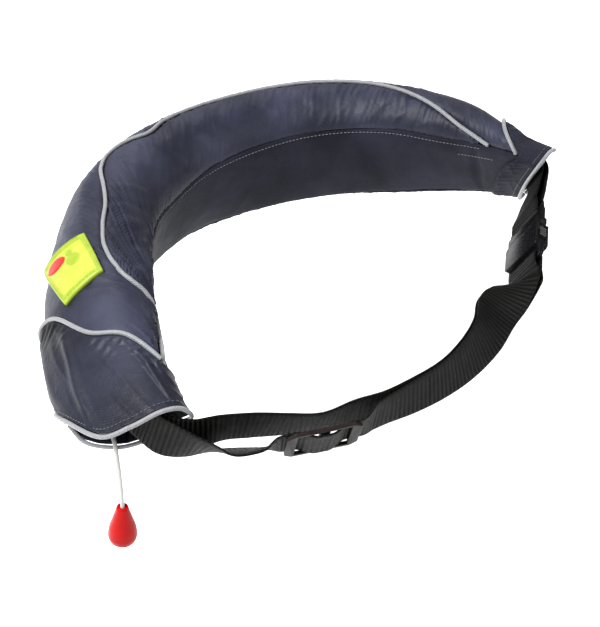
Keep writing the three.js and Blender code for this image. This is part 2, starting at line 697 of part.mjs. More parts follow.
// A sleeve is a tube of cloth over the pouch's end, from its hem to its mouth
function sleeve(hem, mouth) {
  const sheet = (proud) => gridOf(7, 25, (a, b) => {
    const girth = (b * 25 * girthCount) / 26;
    return pouchPoint(THREE.MathUtils.lerp(hem(girth), mouth(girth), a), girth, proud);
  });
  return sheetFrom(sheet(sleeveSeat + clothWall), sheet(sleeveSeat), true);
}

const pipingSeat = pipingSize / 2 - clothWall + seat * 0.5;

const longPiping = () => {
  const end = (turn) => leftHem(coverSeam(turn)) - (pipingSize + 1.5) * turnPerMm(turn, 5);
  const points = turnsFrom(crescent.right + 1.5, end(180), 4).map((turn) => (
    pouchPoint(turn, coverSeam(turn), pipingSeat)));
  return tubeAlong(points, pipingSize, 6, 60);
};

// Piping that lies along an edge of a sleeve, on its side facing way
function edgePiping(edge, way, proud, from, to, steps) {
  const onEdge = (girth, height) => pouchPoint(edge(girth), girth, height);
  const points = turnsFrom(from, to, 0.5).map((girth) => {
    const along = onEdge(girth + 0.1, proud).sub(onEdge(girth - 0.1, proud)).normalize();
    const raised = onEdge(girth, proud + 1).sub(onEdge(girth, proud));
    const aside = new THREE.Vector3().crossVectors(raised, along).normalize();
    return onEdge(girth, proud).addScaledVector(aside, way * (pipingSize / 2 + 1.6 * faceting));
  });
  return tubeAlong(points, pipingSize, 6, steps);
}

const hemProud = pipingSize / 2 + seat + faceting;
const mouthProud = sleeveSeat + clothWall / 2;

const badge = () => {
  const [a, b, c, d] = badgeCorners;
  const spot = (s, t, key) => THREE.MathUtils.lerp(
    THREE.MathUtils.lerp(a[key], b[key], t),
    THREE.MathUtils.lerp(d[key], c[key], t),
    s,
  );
  const places = [0, 0.07, 0.12, 0.3, 0.5, 0.7, 0.88, 0.93, 1];
  const sheet = (proud) => places.map((s) => places.map((t) => (
    pouchPoint(spot(s, t, 'turn'), spot(s, t, 'girth'), proud(s, t)))));
  const onRim = (s, t) => Math.min(s, t, 1 - s, 1 - t) < 0.1;
  return sheetFrom(
    sheet((s, t) => seat + badgeWall + (onRim(s, t) ? badgeRim : 0)),
    sheet(() => seat),
    false,
  );
};

const pullCord = () => {
  const points = cordRoute.map((p) => new THREE.Vector3(...p));
  return tubeAlong(points, cordSize, 8, 24);
};

// A drop turned about its axis, with a hollow neck that takes the cord's end
const pullHandle = () => {
  const bore = cordSize / 2 + 0.3;
  const profile = [[0, -0.13], [bore, -0.13], [bore, 0], [handleNeck / 2 - 0.6, 0], [handleNeck / 2, -0.02],
    [handleNeck * 0.6, -0.12], [handleWide * 0.34, -0.34], [handleWide * 0.45, -0.56],
    [handleWide * 0.5, -0.76], [handleWide * 0.47, -0.87], [handleWide * 0.32, -0.96], [0, -1]];
  const points = profile.map(([r, z]) => new THREE.Vector2(r, z * handleLong)).reverse();
  const [before, end] = cordRoute.slice(-2).map((p) => new THREE.Vector3(...p));
  const down = end.clone().sub(before).normalize();
  const top = end.addScaledVector(down, seat - handleLong * 0.13);
  return new THREE.LatheGeometry(points, 16)
    .rotateX(Math.PI / 2)
    .applyQuaternion(new THREE.Quaternion().setFromUnitVectors(upward.clone().negate(), down))
    .translate(top.x, top.y, top.z);
};

const cloth = { color: 0x474b5b, roughness: 0.55, metalness: 0 };
const innerCloth = { color: 0x3a3d4c, roughness: 0.7, metalness: 0 };
const reflective = { color: 0xc9c9cd, roughness: 0.45, metalness: 0 };
const webbing = { color: 0x171716, roughness: 0.8, metalness: 0 };
const blackPlastic = { color: 0x1d1d1f, roughness: 0.45, metalness: 0 };
const brownPlastic = { color: 0x4b4442, roughness: 0.5, metalness: 0 };

const pieces = [
  ['folded_bladder', bladder(), { color: 0xd8a43a, roughness: 0.7, metalness: 0 }],
  ['outer_cover', outerCover(), cloth],
  ['top_gusset', topGusset(), cloth],
  ['back_panel', backPanel(), innerCloth],
  ['left_sleeve', sleeve(leftHem, leftMouth), cloth],
  ['right_sleeve', sleeve(rightHem, rightMouth), cloth],
  ['long_piping', longPiping(), reflective],
  ['left_hem_piping', edgePiping(leftHem, -1, hemProud, 5.9, 12.5, 34), reflective],
  ['right_hem_piping', edgePiping(rightHem, 1, hemProud, 4.2, 12.5, 30), reflective],
  ['left_mouth_piping', edgePiping(leftMouth, 1, mouthProud, -1, 11.85, 46), reflective],
  ['right_mouth_piping', edgePiping(rightMouth, -1, mouthProud, -1, 11.85, 38), reflective],
  ['badge', badge(), { color: 0xc3dc4b, roughness: 0.5, metalness: 0 }],
  ['belt_webbing', beltWebbing(), webbing],
  ['loop_webbing', loopWebbing(), webbing],
  ['strap_slider', slider(), brownPlastic],
  ['buckle_plug', bucklePlug(), blackPlastic],
  ['buckle_socket', buckleSocket(), blackPlastic],
  ['pull_cord', pullCord(), { color: 0xe6e4dc, roughness: 0.8, metalness: 0 }],
  ['pull_handle', pullHandle(), { color: 0xe23028, roughness: 0.4, metalness: 0 }],
];

const beltPack = new THREE.Group();
beltPack.name = 'inflatable_belt_pack';
for (const [name, geometry, finish] of pieces) {
  const mesh = new THREE.Mesh(geometry, new THREE.MeshStandardMaterial(finish));
  mesh.name = name;
  beltPack.add(mesh);
}

export default beltPack;
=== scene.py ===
import math

import bmesh
import bpy
import numpy as np
from mathutils import Matrix, Vector


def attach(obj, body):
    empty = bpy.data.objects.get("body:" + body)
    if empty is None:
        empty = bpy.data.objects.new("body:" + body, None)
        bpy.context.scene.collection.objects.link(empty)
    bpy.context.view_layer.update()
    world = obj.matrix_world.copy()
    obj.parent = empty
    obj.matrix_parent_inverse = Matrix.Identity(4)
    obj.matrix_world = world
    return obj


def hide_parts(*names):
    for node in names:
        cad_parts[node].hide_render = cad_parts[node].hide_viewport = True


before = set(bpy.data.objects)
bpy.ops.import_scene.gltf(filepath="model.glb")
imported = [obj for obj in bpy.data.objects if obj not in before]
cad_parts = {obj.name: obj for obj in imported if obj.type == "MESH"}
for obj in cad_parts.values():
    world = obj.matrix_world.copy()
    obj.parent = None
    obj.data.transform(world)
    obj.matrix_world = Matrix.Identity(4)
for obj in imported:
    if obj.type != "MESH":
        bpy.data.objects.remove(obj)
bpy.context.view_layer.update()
mm = 0.001
ribPitch = 4.0  # of the webbing, in millimetres

# Camera at the photograph's angle: 40 degrees round from the front, 45 above
camera = {"turn": -40, "height": 45, "away": 1.2, "lens": 79.2, "aside": -0.03916, "above": -0.0509}


def makeCamera():
    turn, height = math.radians(camera["turn"]), math.radians(camera["height"])
    back = Vector((math.sin(turn) * math.cos(height), -math.cos(turn) * math.cos(height), math.sin(height)))
    right = Vector((math.cos(turn), math.sin(turn), 0))
    up = back.cross(right)
    place = back * camera["away"] + right * camera["aside"] + up * camera["above"]
    data = bpy.data.cameras.new("view")
    data.lens = camera["lens"]
    data.sensor_width = 36
    data.clip_end = 20
    eye = bpy.data.objects.new("view", data)
    eye.matrix_world = Matrix.Translation(place) @ Matrix((right, up, back)).transposed().to_4x4()
    bpy.context.scene.collection.objects.link(eye)
    bpy.context.scene.camera = eye


makeCamera()
print("camera in place")


# Materials

class Paint:
    # a node material that is built up a socket at a time

    def __init__(self, name, colour, rough, **more):
        self.material = bpy.data.materials.new(name)
        self.material.use_nodes = True
        self.nodes = self.material.node_tree.nodes
        self.links = self.material.node_tree.links
        self.shader = self.nodes["Principled BSDF"]
        self.shader.inputs["Base Color"].default_value = (*colour, 1)
        self.shader.inputs["Roughness"].default_value = rough
        for socket, value in more.items():
            self.shader.inputs[socket.replace("_", " ")].default_value = value
        self.coords = self.nodes.new("ShaderNodeTexCoord")
        self.lastBump = None

    def add(self, kind, **values):
        node = self.nodes.new(kind)
        for key, value in values.items():
            if hasattr(node, key):
                setattr(node, key, value)
            else:
                node.inputs[key.replace("_", " ")].default_value = value
        return node

    def noise(self, scale, detail=3, rough=0.5):
        node = self.add("ShaderNodeTexNoise", Scale=scale, Detail=detail, Roughness=rough)
        self.links.new(self.coords.outputs["Object"], node.inputs["Vector"])
        return node.outputs["Fac"]

    def wave(self, scale, direction="X", warp=0.0):
        # bands over the cloth laid flat
        node = self.add("ShaderNodeTexWave", Scale=scale, Distortion=warp, bands_direction=direction)
        self.links.new(self.coords.outputs["UV"], node.inputs["Vector"])
        return node.outputs["Fac"]

    def maths(self, way, first, second):
        node = self.add("ShaderNodeMath", operation=way)
        for socket, value in zip(node.inputs, (first, second)):
            if isinstance(value, (int, float)):
                socket.default_value = value
            else:
                self.links.new(value, socket)
        return node.outputs["Value"]

    def mixed(self, *shares):
        # a sum of values, each with its share
        parts = [self.maths("MULTIPLY", value, share) for value, share in shares]
        total = parts[0]
        for part in parts[1:]:
            total = self.maths("ADD", total, part)
        return total

    def colours(self, value, stops):
        ramp = self.add("ShaderNodeValToRGB")
        for stop, (at, colour) in zip(ramp.color_ramp.elements, stops):
            stop.position = at
            stop.color = (*colour, 1)
        self.links.new(value, ramp.inputs["Fac"])
        self.links.new(ramp.outputs["Color"], self.shader.inputs["Base Color"])

    def roughFrom(self, value, low, high):
        node = self.add("ShaderNodeMapRange", To_Min=low, To_Max=high)
        self.links.new(value, node.inputs["Value"])
        self.links.new(node.outputs["Result"], self.shader.inputs["Roughness"])

    def bump(self, value, strength, depth):
        node = self.add("ShaderNodeBump", Strength=strength, Distance=depth)
        self.links.new(value, node.inputs["Height"])
        if self.lastBump:
            self.links.new(self.lastBump, node.inputs["Normal"])
        self.lastBump = node.outputs["Normal"]
        self.links.new(self.lastBump, self.shader.inputs["Normal"])


def nylon(name, dark, light, rough, sheen, shine):
    # plain-weave nylon: fine threads both ways and small crinkles; its broad light and dark blotches are
    # painted reflection
    paint = Paint(name, light, rough, Sheen_Weight=sheen, Sheen_Roughness=0.45, Specular_IOR_Level=shine)
    # painted reflection: two broad noises lighten and darken the colour in blotches, standing in for light
    # and dark surroundings mirrored in the glossy nylon; only the threads are the weave's own pattern
    paintedReflection = paint.noise(26, detail=4, rough=0.6)
    threads = paint.maths("MULTIPLY", paint.wave(260), paint.wave(260, direction="Y"))
    broadPaintedReflection = paint.noise(11, detail=2, rough=0.4)
    weaveAndPaintedReflection = paint.mixed((paintedReflection, 0.35), (threads, 0.12), (broadPaintedReflection, 0.55))
    paint.colours(weaveAndPaintedReflection, [(0.36, dark), (0.62, light)])
    paint.roughFrom(paint.noise(60, detail=3), rough - 0.07, rough + 0.09)
    paint.bump(threads, 0.22, 0.0004)
    paint.bump(paint.noise(75, detail=5, rough=0.62), 0.36, 0.0022)
    paint.bump(paint.noise(330, detail=2), 0.16, 0.0004)
    return paint.material


def threadPaint(name, dark, light, rough, pitch, strength=0.5):
    # twisted or braided thread running along the piece
    paint = Paint(name, light, rough, Sheen_Weight=0.25)
    twist = paint.maths("MULTIPLY", paint.wave(pitch, direction="DIAGONAL"), paint.wave(pitch * 1.3))
    paint.colours(paint.mixed((twist, 1.0), (paint.noise(300), 0.4)), [(0.12, dark), (0.55, light)])
    paint.bump(twist, strength, 0.0004)
    paint.bump(paint.noise(900, detail=2), 0.3, 0.0002)
    return paint.material


def webbingPaint():
    # painted shade in the grooves between the ribs, with a little painted highlight on each crest
    paint = Paint("blackWebbing", (0.005, 0.005, 0.005), 0.5, Specular_IOR_Level=0.07)
    yarn = paint.wave(300, direction="Y", warp=1.5)
    ribs = paint.wave(2 * math.pi / 20 / (ribPitch * mm))  # a wave at scale 1 has bands 2 pi / 20 m apart
    highlightOnCrests = paint.maths("POWER", ribs, 3.0)
    # painted shade in the grooves and painted highlight on the crests, following the ribs' sharpened wave
    grooveShade, crestHighlight = (0.0006, 0.0006, 0.0006), (0.009, 0.0086, 0.008)
    paint.colours(paint.mixed((highlightOnCrests, 0.6), (paint.noise(90), 0.4)), [(0.25, grooveShade), (0.85, crestHighlight)])
    paint.roughFrom(paint.noise(140), 0.42, 0.62)
    paint.bump(yarn, 0.6, 0.0005)
    paint.bump(paint.noise(700, detail=3), 0.25, 0.0003)
    return paint.material


def plastic(name, colour, light, rough, grain, shine, coat=0.0):
    paint = Paint(name, colour, rough, Specular_IOR_Level=shine, Coat_Weight=coat, Coat_Roughness=0.2)
    paint.colours(paint.noise(120, detail=4), [(0.35, colour), (0.7, light)])
    paint.roughFrom(paint.noise(210, detail=3), rough - 0.06, rough + 0.08)
    paint.bump(paint.noise(1500, detail=2), grain, 0.0002)
    paint.bump(paint.noise(45, detail=2), 0.05, 0.0006)
    return paint.material


# each nylon's two colours are the dark and light ends of its painted reflection; the sleeve's lie furthest
# apart, for its strongly reflected dark and light patches
coverNylon = nylon("coverNylon", (0.0055, 0.0062, 0.0125), (0.022, 0.0235, 0.042), 0.47, 0.03, 0.15)
backNylon = nylon("backNylon", (0.0035, 0.0038, 0.007), (0.012, 0.0128, 0.022), 0.62, 0.02, 0.08)
sleeveNylon = nylon("sleeveNylon", (0.0018, 0.0019, 0.003), (0.0125, 0.0138, 0.025), 0.4, 0.02, 0.12)
bladderCloth = nylon("bladderCloth", (0.02, 0.02, 0.024), (0.035, 0.035, 0.04), 0.6, 0.0, 0.1)
pipingThread = threadPaint("pipingThread", (0.06, 0.062, 0.067), (0.16, 0.164, 0.175), 0.5, 260)
stitchThread = threadPaint("stitchThread", (0.035, 0.037, 0.046), (0.08, 0.083, 0.1), 0.6, 400)
paleStitch = threadPaint("paleStitch", (0.08, 0.083, 0.092), (0.19, 0.195, 0.21), 0.6, 400)
cordBraid = threadPaint("cordBraid", (0.28, 0.275, 0.26), (0.5, 0.49, 0.47), 0.7, 420, 0.8)
blackWebbing = webbingPaint()
blackPlastic = plastic("blackPlastic", (0.0018, 0.0018, 0.002), (0.0036, 0.0036, 0.004), 0.26, 0.12, 0.06,
                       0.02)
# the grips are the buckle's black plastic; their lighter grey is a painted highlight
gripPaintedHighlight = plastic("gripPaintedHighlight", (0.02, 0.02, 0.021), (0.05, 0.05, 0.052), 0.3, 0.2, 0.4)
brownPlastic = plastic("brownPlastic", (0.006, 0.0045, 0.004), (0.0115, 0.0086, 0.0078), 0.45, 0.2, 0.06)
limeRubber = plastic("limeRubber", (0.15, 0.205, 0.013), (0.19, 0.245, 0.02), 0.42, 0.25, 0.2)
yellowRubber = plastic("yellowRubber", (0.225, 0.25, 0.027), (0.27, 0.29, 0.038), 0.45, 0.3, 0.2)
redRubber = plastic("redRubber", (0.25, 0.007, 0.006), (0.31, 0.012, 0.009), 0.4, 0.25, 0.2)
redGloss = plastic("redGloss", (0.25, 0.0016, 0.0016), (0.30, 0.0024, 0.0024), 0.3, 0.06, 0.06, 0.02)
print("materials made")


# Reading tables of sizes

def readColumn(table, column, at):
    # a smooth value between uneven rows, straight on beyond both ends
    x = np.array(table["turn"], float)
    y = np.array(table[column], float)
    at = np.asarray(at, float)
    gap = np.diff(x)
    rise = np.diff(y) / gap
    slope = np.empty(len(x))
    slope[0], slope[-1] = rise[0], rise[-1]
    slope[1:-1] = (rise[:-1] * gap[1:] + rise[1:] * gap[:-1]) / (gap[:-1] + gap[1:])
    i = np.clip(np.searchsorted(x, at, side="right") - 1, 0, len(x) - 2)
    t = (at - x[i]) / gap[i]
    s = np.clip(t, 0, 1)
    value = (y[i] * (2 * s ** 3 - 3 * s ** 2 + 1) + slope[i] * gap[i] * (s ** 3 - 2 * s ** 2 + s)
             + y[i + 1] * (3 * s ** 2 - 2 * s ** 3) + slope[i + 1] * gap[i] * (s ** 3 - s ** 2))
    over = np.where(t < 0, slope[i] * t, np.where(t > 1, slope[i + 1] * (t - 1), 0)) * gap[i]
    return value + over


def readRound(values, at):
    # the same round a closed list, one value to each whole number
    values = np.array(values, float)
    at = np.asarray(at, float)
    i = np.floor(at).astype(int)
    t = at - i
    pick = [values[(i + k) % len(values)] for k in (-1, 0, 1, 2)]
    slopeA, slopeB = (pick[2] - pick[0]) / 2, (pick[3] - pick[1]) / 2
    return (pick[1] * (2 * t ** 3 - 3 * t ** 2 + 1) + slopeA * (t ** 3 - 2 * t ** 2 + t)
            + pick[2] * (3 * t ** 2 - 2 * t ** 3) + slopeB * (t ** 3 - t ** 2))


def unit(vectors):
    return vectors / np.linalg.norm(vectors, axis=-1, keepdims=True)


def between(at, run, rows):
    # rows of three numbers, read at places along a line
    return np.stack([np.interp(at, run, rows[:, k]) for k in range(3)], -1)


def ease(start, end, at):
    t = np.clip((np.asarray(at, float) - start) / (end - start), 0, 1)
    return t * t * (3 - 2 * t)


def cell(i, j, seed):
    return np.modf(np.abs(np.sin(i * 127.1 + j * 311.7 + seed * 74.7) * 43758.5453))[0]


def cloud(x, y, seed):
    # smooth value noise from 0 to 1
    i, j = np.floor(x), np.floor(y)
    u, v = x - i, y - j
    u, v = u * u * (3 - 2 * u), v * v * (3 - 2 * v)
    low = cell(i, j, seed) * (1 - u) + cell(i + 1, j, seed) * u
    high = cell(i, j + 1, seed) * (1 - u) + cell(i + 1, j + 1, seed) * u
    return low * (1 - v) + high * v


def creases(x, y, seed):
    # ridges that come and go, from 0 in the valleys to 1 on the crests
    return 1 - np.abs(2 * cloud(x, y, seed) - 1) ** 0.8


# Pouch

pouch = {
    "waistReach": 216, "tallest": 116, "deepest": 85, "clothWall": 1.5, "seat": 0.35, "piping": 3.6,
    "hemTuck": 2.5,
    "turn": [-16, -4, 12, 34, 56, 78, 100, 120, 138, 156, 172, 184, 196],
    "reach": [0.991, 0.994, 0.994, 0.99, 1.0, 1.008, 1.016, 1.007, 0.99, 1.007, 1.081, 1.175, 1.302],
    "lift": [0.075, -0.038, -0.15, -0.256, -0.319, -0.331, -0.267, -0.17, -0.083, -0.009, 0.044, 0.072,
             0.084],
    "lean": [12.8, 21.3, 10.8, -2, -4, -1, 3, 7, 20, 36, 46, 51, 54],
    "tall": [0.672, 0.694, 0.818, 0.958, 1.003, 1.005, 0.994, 0.988, 0.978, 0.953, 0.913, 0.871, 0.818],
    "deep": [0.146, 0.32, 0.546, 0.773, 0.894, 0.967, 1.006, 1.013, 0.978, 0.884, 0.747, 0.615, 0.459],
}
section = {
    "across": [-0.36, -0.47, -0.5, -0.48, -0.38, -0.16, 0.12, 0.35, 0.48, 0.5, 0.42, 0.18, -0.12],
    "rise": [-0.47, -0.25, 0, 0.22, 0.38, 0.49, 0.49, 0.38, 0.14, -0.1, -0.33, -0.47, -0.5],
}
girthCount = 13
backSeamTable = {
    "turn": [-16, 3, 9, 19, 35, 52, 81, 99, 112, 120, 129, 142, 156, 168, 176, 186, 200],
    "girth": [4.0, 3.9, 3.6, 3.3, 3.22, 3.2, 3.15, 3.0, 2.8, 2.85, 3.15, 3.6, 4.0, 4.3, 4.7, 5.6, 6.0],
}
coverSeamTable = {
    "turn": [3, 15, 25, 38, 55, 75, 96, 103, 108, 114, 120, 128, 136, 145, 152, 158, 162, 166, 168.5],
    "girth": [3.9, 4.4, 5.0, 5.6, 6.1, 6.3, 6.25, 6.0, 6.45, 6.6, 6.4, 6.05, 6.0, 6.3, 6.5, 6.35, 6.0, 4.9,
              4.3],
}
sleeves = {
    "leftHem": [168, 173, 178, 182, 185, 186.4, 184.6, 178.6, 174.2, 165, 162, 162, 164],
    "leftMouth": [182.3, 186.8, 189.6, 191.2, 193.2, 195.6, 195.1, 194.5, 193.6, 191.4, 183.8, 178.6, 179],
    "rightHem": [5, 3.4, 1.2, -2.4, -6.1, -3.6, 2.2, 5.6, 6.6, 7, 7, 6.6, 6],
    "rightMouth": [-1.5, -4.0, -7.3, -10.6, -12.9, -14.2, -13.8, -10.7, -6.0, -3.1, -1.9, -1.5, -1.0],
    "seat": 0.95,
}


def middleLine(table, turn, tall):
    # points of a middle line, and the level ways along it and outward; tall is what its lift is a share of
    def at(place):
        angle = np.radians(place)
        reach = readColumn(table, "reach", place) * pouch["waistReach"]
        lift = readColumn(table, "lift", place) * tall
        return np.stack([reach * np.cos(angle), reach * np.sin(angle), lift], -1)

    turn = np.asarray(turn, float)
    ahead = at(turn + 0.5) - at(turn - 0.5)
    ahead[..., 2] = 0
    ahead = unit(ahead)
    return at(turn), ahead, np.stack([ahead[..., 1], -ahead[..., 0], 0 * turn], -1)


def pouchPoint(turn, girth, proud=0.0):
    # a point at a turn and a girth, raised from the pouch's face, in millimetres
    turn, girth, proud = np.broadcast_arrays(np.asarray(turn, float), np.asarray(girth, float),
                                             np.asarray(proud, float))
    middle, _, out = middleLine(pouch, turn, pouch["tallest"])
    up = np.array([0, 0, 1.0])
    lean = np.radians(readColumn(pouch, "lean", turn))[..., None]
    deepWay = out * np.cos(lean) + up * np.sin(lean)
    tallWay = -out * np.sin(lean) + up * np.cos(lean)
    deep = readColumn(pouch, "deep", turn) * pouch["deepest"]
    tall = readColumn(pouch, "tall", turn) * pouch["tallest"]

    def flat(at):
        return np.stack([readRound(section["across"], at) * deep, readRound(section["rise"], at) * tall], -1)

    along = unit(flat(girth + 0.2) - flat(girth - 0.2))
    point = flat(girth) + np.stack([-along[..., 1], along[..., 0]], -1) * proud[..., None]
    return middle + deepWay * point[..., :1] + tallWay * point[..., 1:]


def girthPerMm(turn, girth):
    return 0.2 / np.linalg.norm(pouchPoint(turn, girth + 0.1) - pouchPoint(turn, girth - 0.1), axis=-1)


def turnPerMm(turn, girth):
    return 1 / np.linalg.norm(pouchPoint(turn + 0.5, girth) - pouchPoint(turn - 0.5, girth), axis=-1)


def backSeam(turn):
    return readColumn(backSeamTable, "girth", turn)


def coverSeam(turn):
    inside = (turn > coverSeamTable["turn"][0]) & (turn < coverSeamTable["turn"][-1])
    return np.where(inside, readColumn(coverSeamTable, "girth", turn), backSeam(turn))


def edgeOf(name):
    return lambda girth: readRound(sleeves[name], girth)


# Making objects

def link(name, mesh):
    thing = bpy.data.objects.new(name, mesh)
    bpy.context.scene.collection.objects.link(thing)
    return thing


def dress(thing, material, slotName, *nodes):
    if material:
        thing.data.materials.append(material)
    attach(thing, "root")
    if nodes:
        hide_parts(*nodes)
    return thing


def meshFrom(name, points, faces, spread=None):
    # points in millimetres, spread is the cloth laid flat, in metres, for the weave
    mesh = bpy.data.meshes.new(name)
    mesh.from_pydata((np.asarray(points) * mm).tolist(), [], faces)
    mesh.validate()
    mesh.polygons.foreach_set("use_smooth", [True] * len(mesh.polygons))
    if spread is not None:
        layer = mesh.uv_layers.new(name="spread")
        corner = np.empty(len(mesh.loops), dtype=np.int32)
        mesh.loops.foreach_get("vertex_index", corner)
        layer.data.foreach_set("uv", np.asarray(spread, float)[corner].ravel())
    mesh.update()
    return link(name, mesh)


def faceOutward(mesh, merge=False):
    box = bmesh.new()
    box.from_mesh(mesh)
    if merge:
        bmesh.ops.remove_doubles(box, verts=box.verts, dist=1e-6)
    bmesh.ops.recalc_face_normals(box, faces=box.faces)
    box.to_mesh(mesh)
    box.free()


def lengthsOf(grid, way=0):
    # how far each point of a line or grid lies from the first row, or from the first column
    first = grid[:1] if way == 0 else grid[:, :1]
    return np.cumsum(np.linalg.norm(np.diff(grid, axis=way, prepend=first), axis=-1), way)


def gridFaces(rows, size, start, closed, flip):
    i, j = np.meshgrid(np.arange(rows - 1), np.arange(size if closed else size - 1), indexing="ij")
    nextJ = (j + 1) % size
    quads = np.stack([i * size + j, i * size + nextJ, (i + 1) * size + nextJ, (i + 1) * size + j], -1)
    quads = quads.reshape(-1, 4) + start
    return quads[:, ::-1].tolist() if flip else quads.tolist()


def roundFaces(rows, size):
    # a closed body of rings with a flat face at each end
    last = (rows - 1) * size
    return gridFaces(rows, size, 0, True, False) + [list(range(size))[::-1], list(range(last, last + size))]


def sheetFrom(name, outer, inner, closed=False, runs=None):
    # two matching grids of points, one on each face of the cloth
    rows, size = outer.shape[:2]
    shift = rows * size
    # which way round the first grid's faces must go to look away from the second grid
    a, b = outer[rows // 2, size // 2], inner[rows // 2, size // 2]
    normal = np.cross(outer[rows // 2, size // 2 + 1] - a, outer[rows // 2 + 1, size // 2] - a)
    flip = np.dot(normal, a - b) <= 0
    faces = gridFaces(rows, size, 0, closed, flip) + gridFaces(rows, size, shift, closed, not flip)
    rim = []
    end = (rows - 1) * size
    for j in range(size if closed else size - 1):
        k = (j + 1) % size
        rim.append([j, j + shift, k + shift, k])
        rim.append([end + j, end + k, end + k + shift, end + j + shift])
    if not closed:
        for i in range(rows - 1):
            a, b = i * size, (i + 1) * size
            rim.append([a, b, b + shift, a + shift])
            c, d = a + size - 1, b + size - 1
            rim.append([c, c + shift, d + shift, d])
    faces += [face[::-1] for face in rim] if flip else rim
    wide = lengthsOf(outer, 1)
    long = lengthsOf(outer, 0)[:, size // 2] if runs is None else runs
    flat = np.stack([long[:, None] + 0 * wide, wide], -1).reshape(-1, 2) * mm
    return meshFrom(name, np.concatenate([outer.reshape(-1, 3), inner.reshape(-1, 3)]), faces,
                    np.concatenate([flat, flat]))


def tubeFrom(name, path, size, sides=12):
    # a round tube along points, kept from twisting
    path = np.asarray(path, float)
    ahead = unit(np.gradient(path, axis=0))
    side = unit(np.cross(ahead[0], [0.3, 0.2, 1.0]))
    sidesWay = []
    for way in ahead:
        side = side - way * np.dot(side, way)
        side = side / np.linalg.norm(side)
        sidesWay.append(side)
    sidesWay = np.array(sidesWay)
    other = np.cross(ahead, sidesWay)
    turn = np.linspace(0, 2 * np.pi, sides, endpoint=False)
    ring = sidesWay[:, None] * np.cos(turn)[None, :, None] + other[:, None] * np.sin(turn)[None, :, None]
    points = path[:, None] + ring * size / 2
    run = lengthsOf(path)
    flat = np.stack([np.repeat(run[:, None], sides, 1), np.repeat(turn[None] * size / 2, len(path), 0)], -1)
    thing = meshFrom(name, points.reshape(-1, 3), roundFaces(len(path), sides), flat.reshape(-1, 2) * mm)
    faceOutward(thing.data)
    return thing


def spline(points, count):
    # evenly spaced points on a smooth line through the given ones
    points = np.asarray(points, float)
    run = lengthsOf(points)
    table = {"turn": run, "x": points[:, 0], "y": points[:, 1], "z": points[:, 2]}
    at = np.linspace(0, run[-1], count)
    return np.stack([readColumn(table, axis, at) for axis in "xyz"], -1)


def pleats(along, away, seed, pitch, reach, skew):
    # narrow ridges that leave a seam, each with its own height and length
    phase = along / pitch + 1.3 * cloud(along / 24, away / 40, seed) + skew * away / pitch
    number = np.floor(phase)
    high = 0.25 + 0.75 * cell(number, 0 * number, seed + 1)
    long = reach * (0.4 + 0.9 * cell(number, 1 + 0 * number, seed + 2))
    ridge = (1 - np.abs(2 * (phase - number) - 1)) ** 1.6
    return high * ridge * np.exp(-(away / long) ** 2)


# Panels of the pouch

panels = {
    "coverRows": 420, "coverColumns": 84, "gussetRows": 400, "gussetColumns": 44, "backRows": 400,
    "backColumns": 56, "puckerPitch": 8.5, "pucker": 0.7, "pleatPitch": 6.6, "pleat": 2.7, "swell": 2.1,
    "crinkle": 0.85, "lowest": -2.3, "highest": 3.0,
    "besidePiping": 0.35, "pipingDip": 2.0, "seamDip": 0.7, "dipWide": 3.2,  # they meet in a dip under it
    "slack": 0.32, "gathered": 1.25, "gatheredTurns": (112, 142),  # deeper pleats towards the left sleeve
    # ridges pressed in: turn and girth of the start, then of the end, and the height and width
    "folds": [
        (172, 5.4, 168, 4.3, 1.3, 3.6), (166, 5.5, 160, 4.4, -1.4, 3.2), (160, 5.6, 152, 4.1, 1.5, 3.8),
        (150, 5.4, 143, 4.2, -1.3, 3.4), (142, 5.6, 137, 4.1, 1.4, 4.0), (134, 5.9, 131, 4.2, -1.2, 3.4),
        (128, 5.9, 124, 4.3, 1.3, 3.8), (118, 6.0, 112, 4.3, 1.0, 4.2), (108, 5.6, 103, 4.0, -0.9, 4.0),
        (96, 6.0, 90, 4.4, 0.9, 4.4), (148, 7.2, 138, 7.9, 1.3, 4.2), (155, 7.0, 146, 8.2, -1.3, 3.6),
        (161, 6.9, 154, 7.9, 1.4, 4.2), (166, 6.8, 161, 7.6, -1.2, 3.6), (21, 4.3, 27, 3.5, 0.9, 3.6),
        (30, 5.2, 38, 4.1, -0.9, 3.6), (8.6, 3.4, 8.2, 0.6, -2.2, 3.2), (60, 5.6, 56, 4.4, 0.7, 4.6),
        (75, 5.9, 70, 4.3, -0.8, 4.4), (88, 5.7, 84, 4.2, 0.8, 4.8),
    ],
}


def panelSpots(edges, girths, rows, columns):
    # the turn and girth of a panel's points, found again until its ends and its seams agree
    a, b = np.meshgrid(np.linspace(0, 1, rows + 1), np.linspace(0, 1, columns + 1), indexing="ij")
    turn = edges[0](girths[0](np.zeros(1))) * (1 - a) + edges[1](girths[1](np.full(1, 180.0))) * a
    for _ in range(2):
        girth = girths[0](turn) * (1 - b) + girths[1](turn) * b
        turn = edges[0](girth) * (1 - a) + edges[1](girth) * a
    return turn, girths[0](turn) * (1 - b) + girths[1](turn) * b


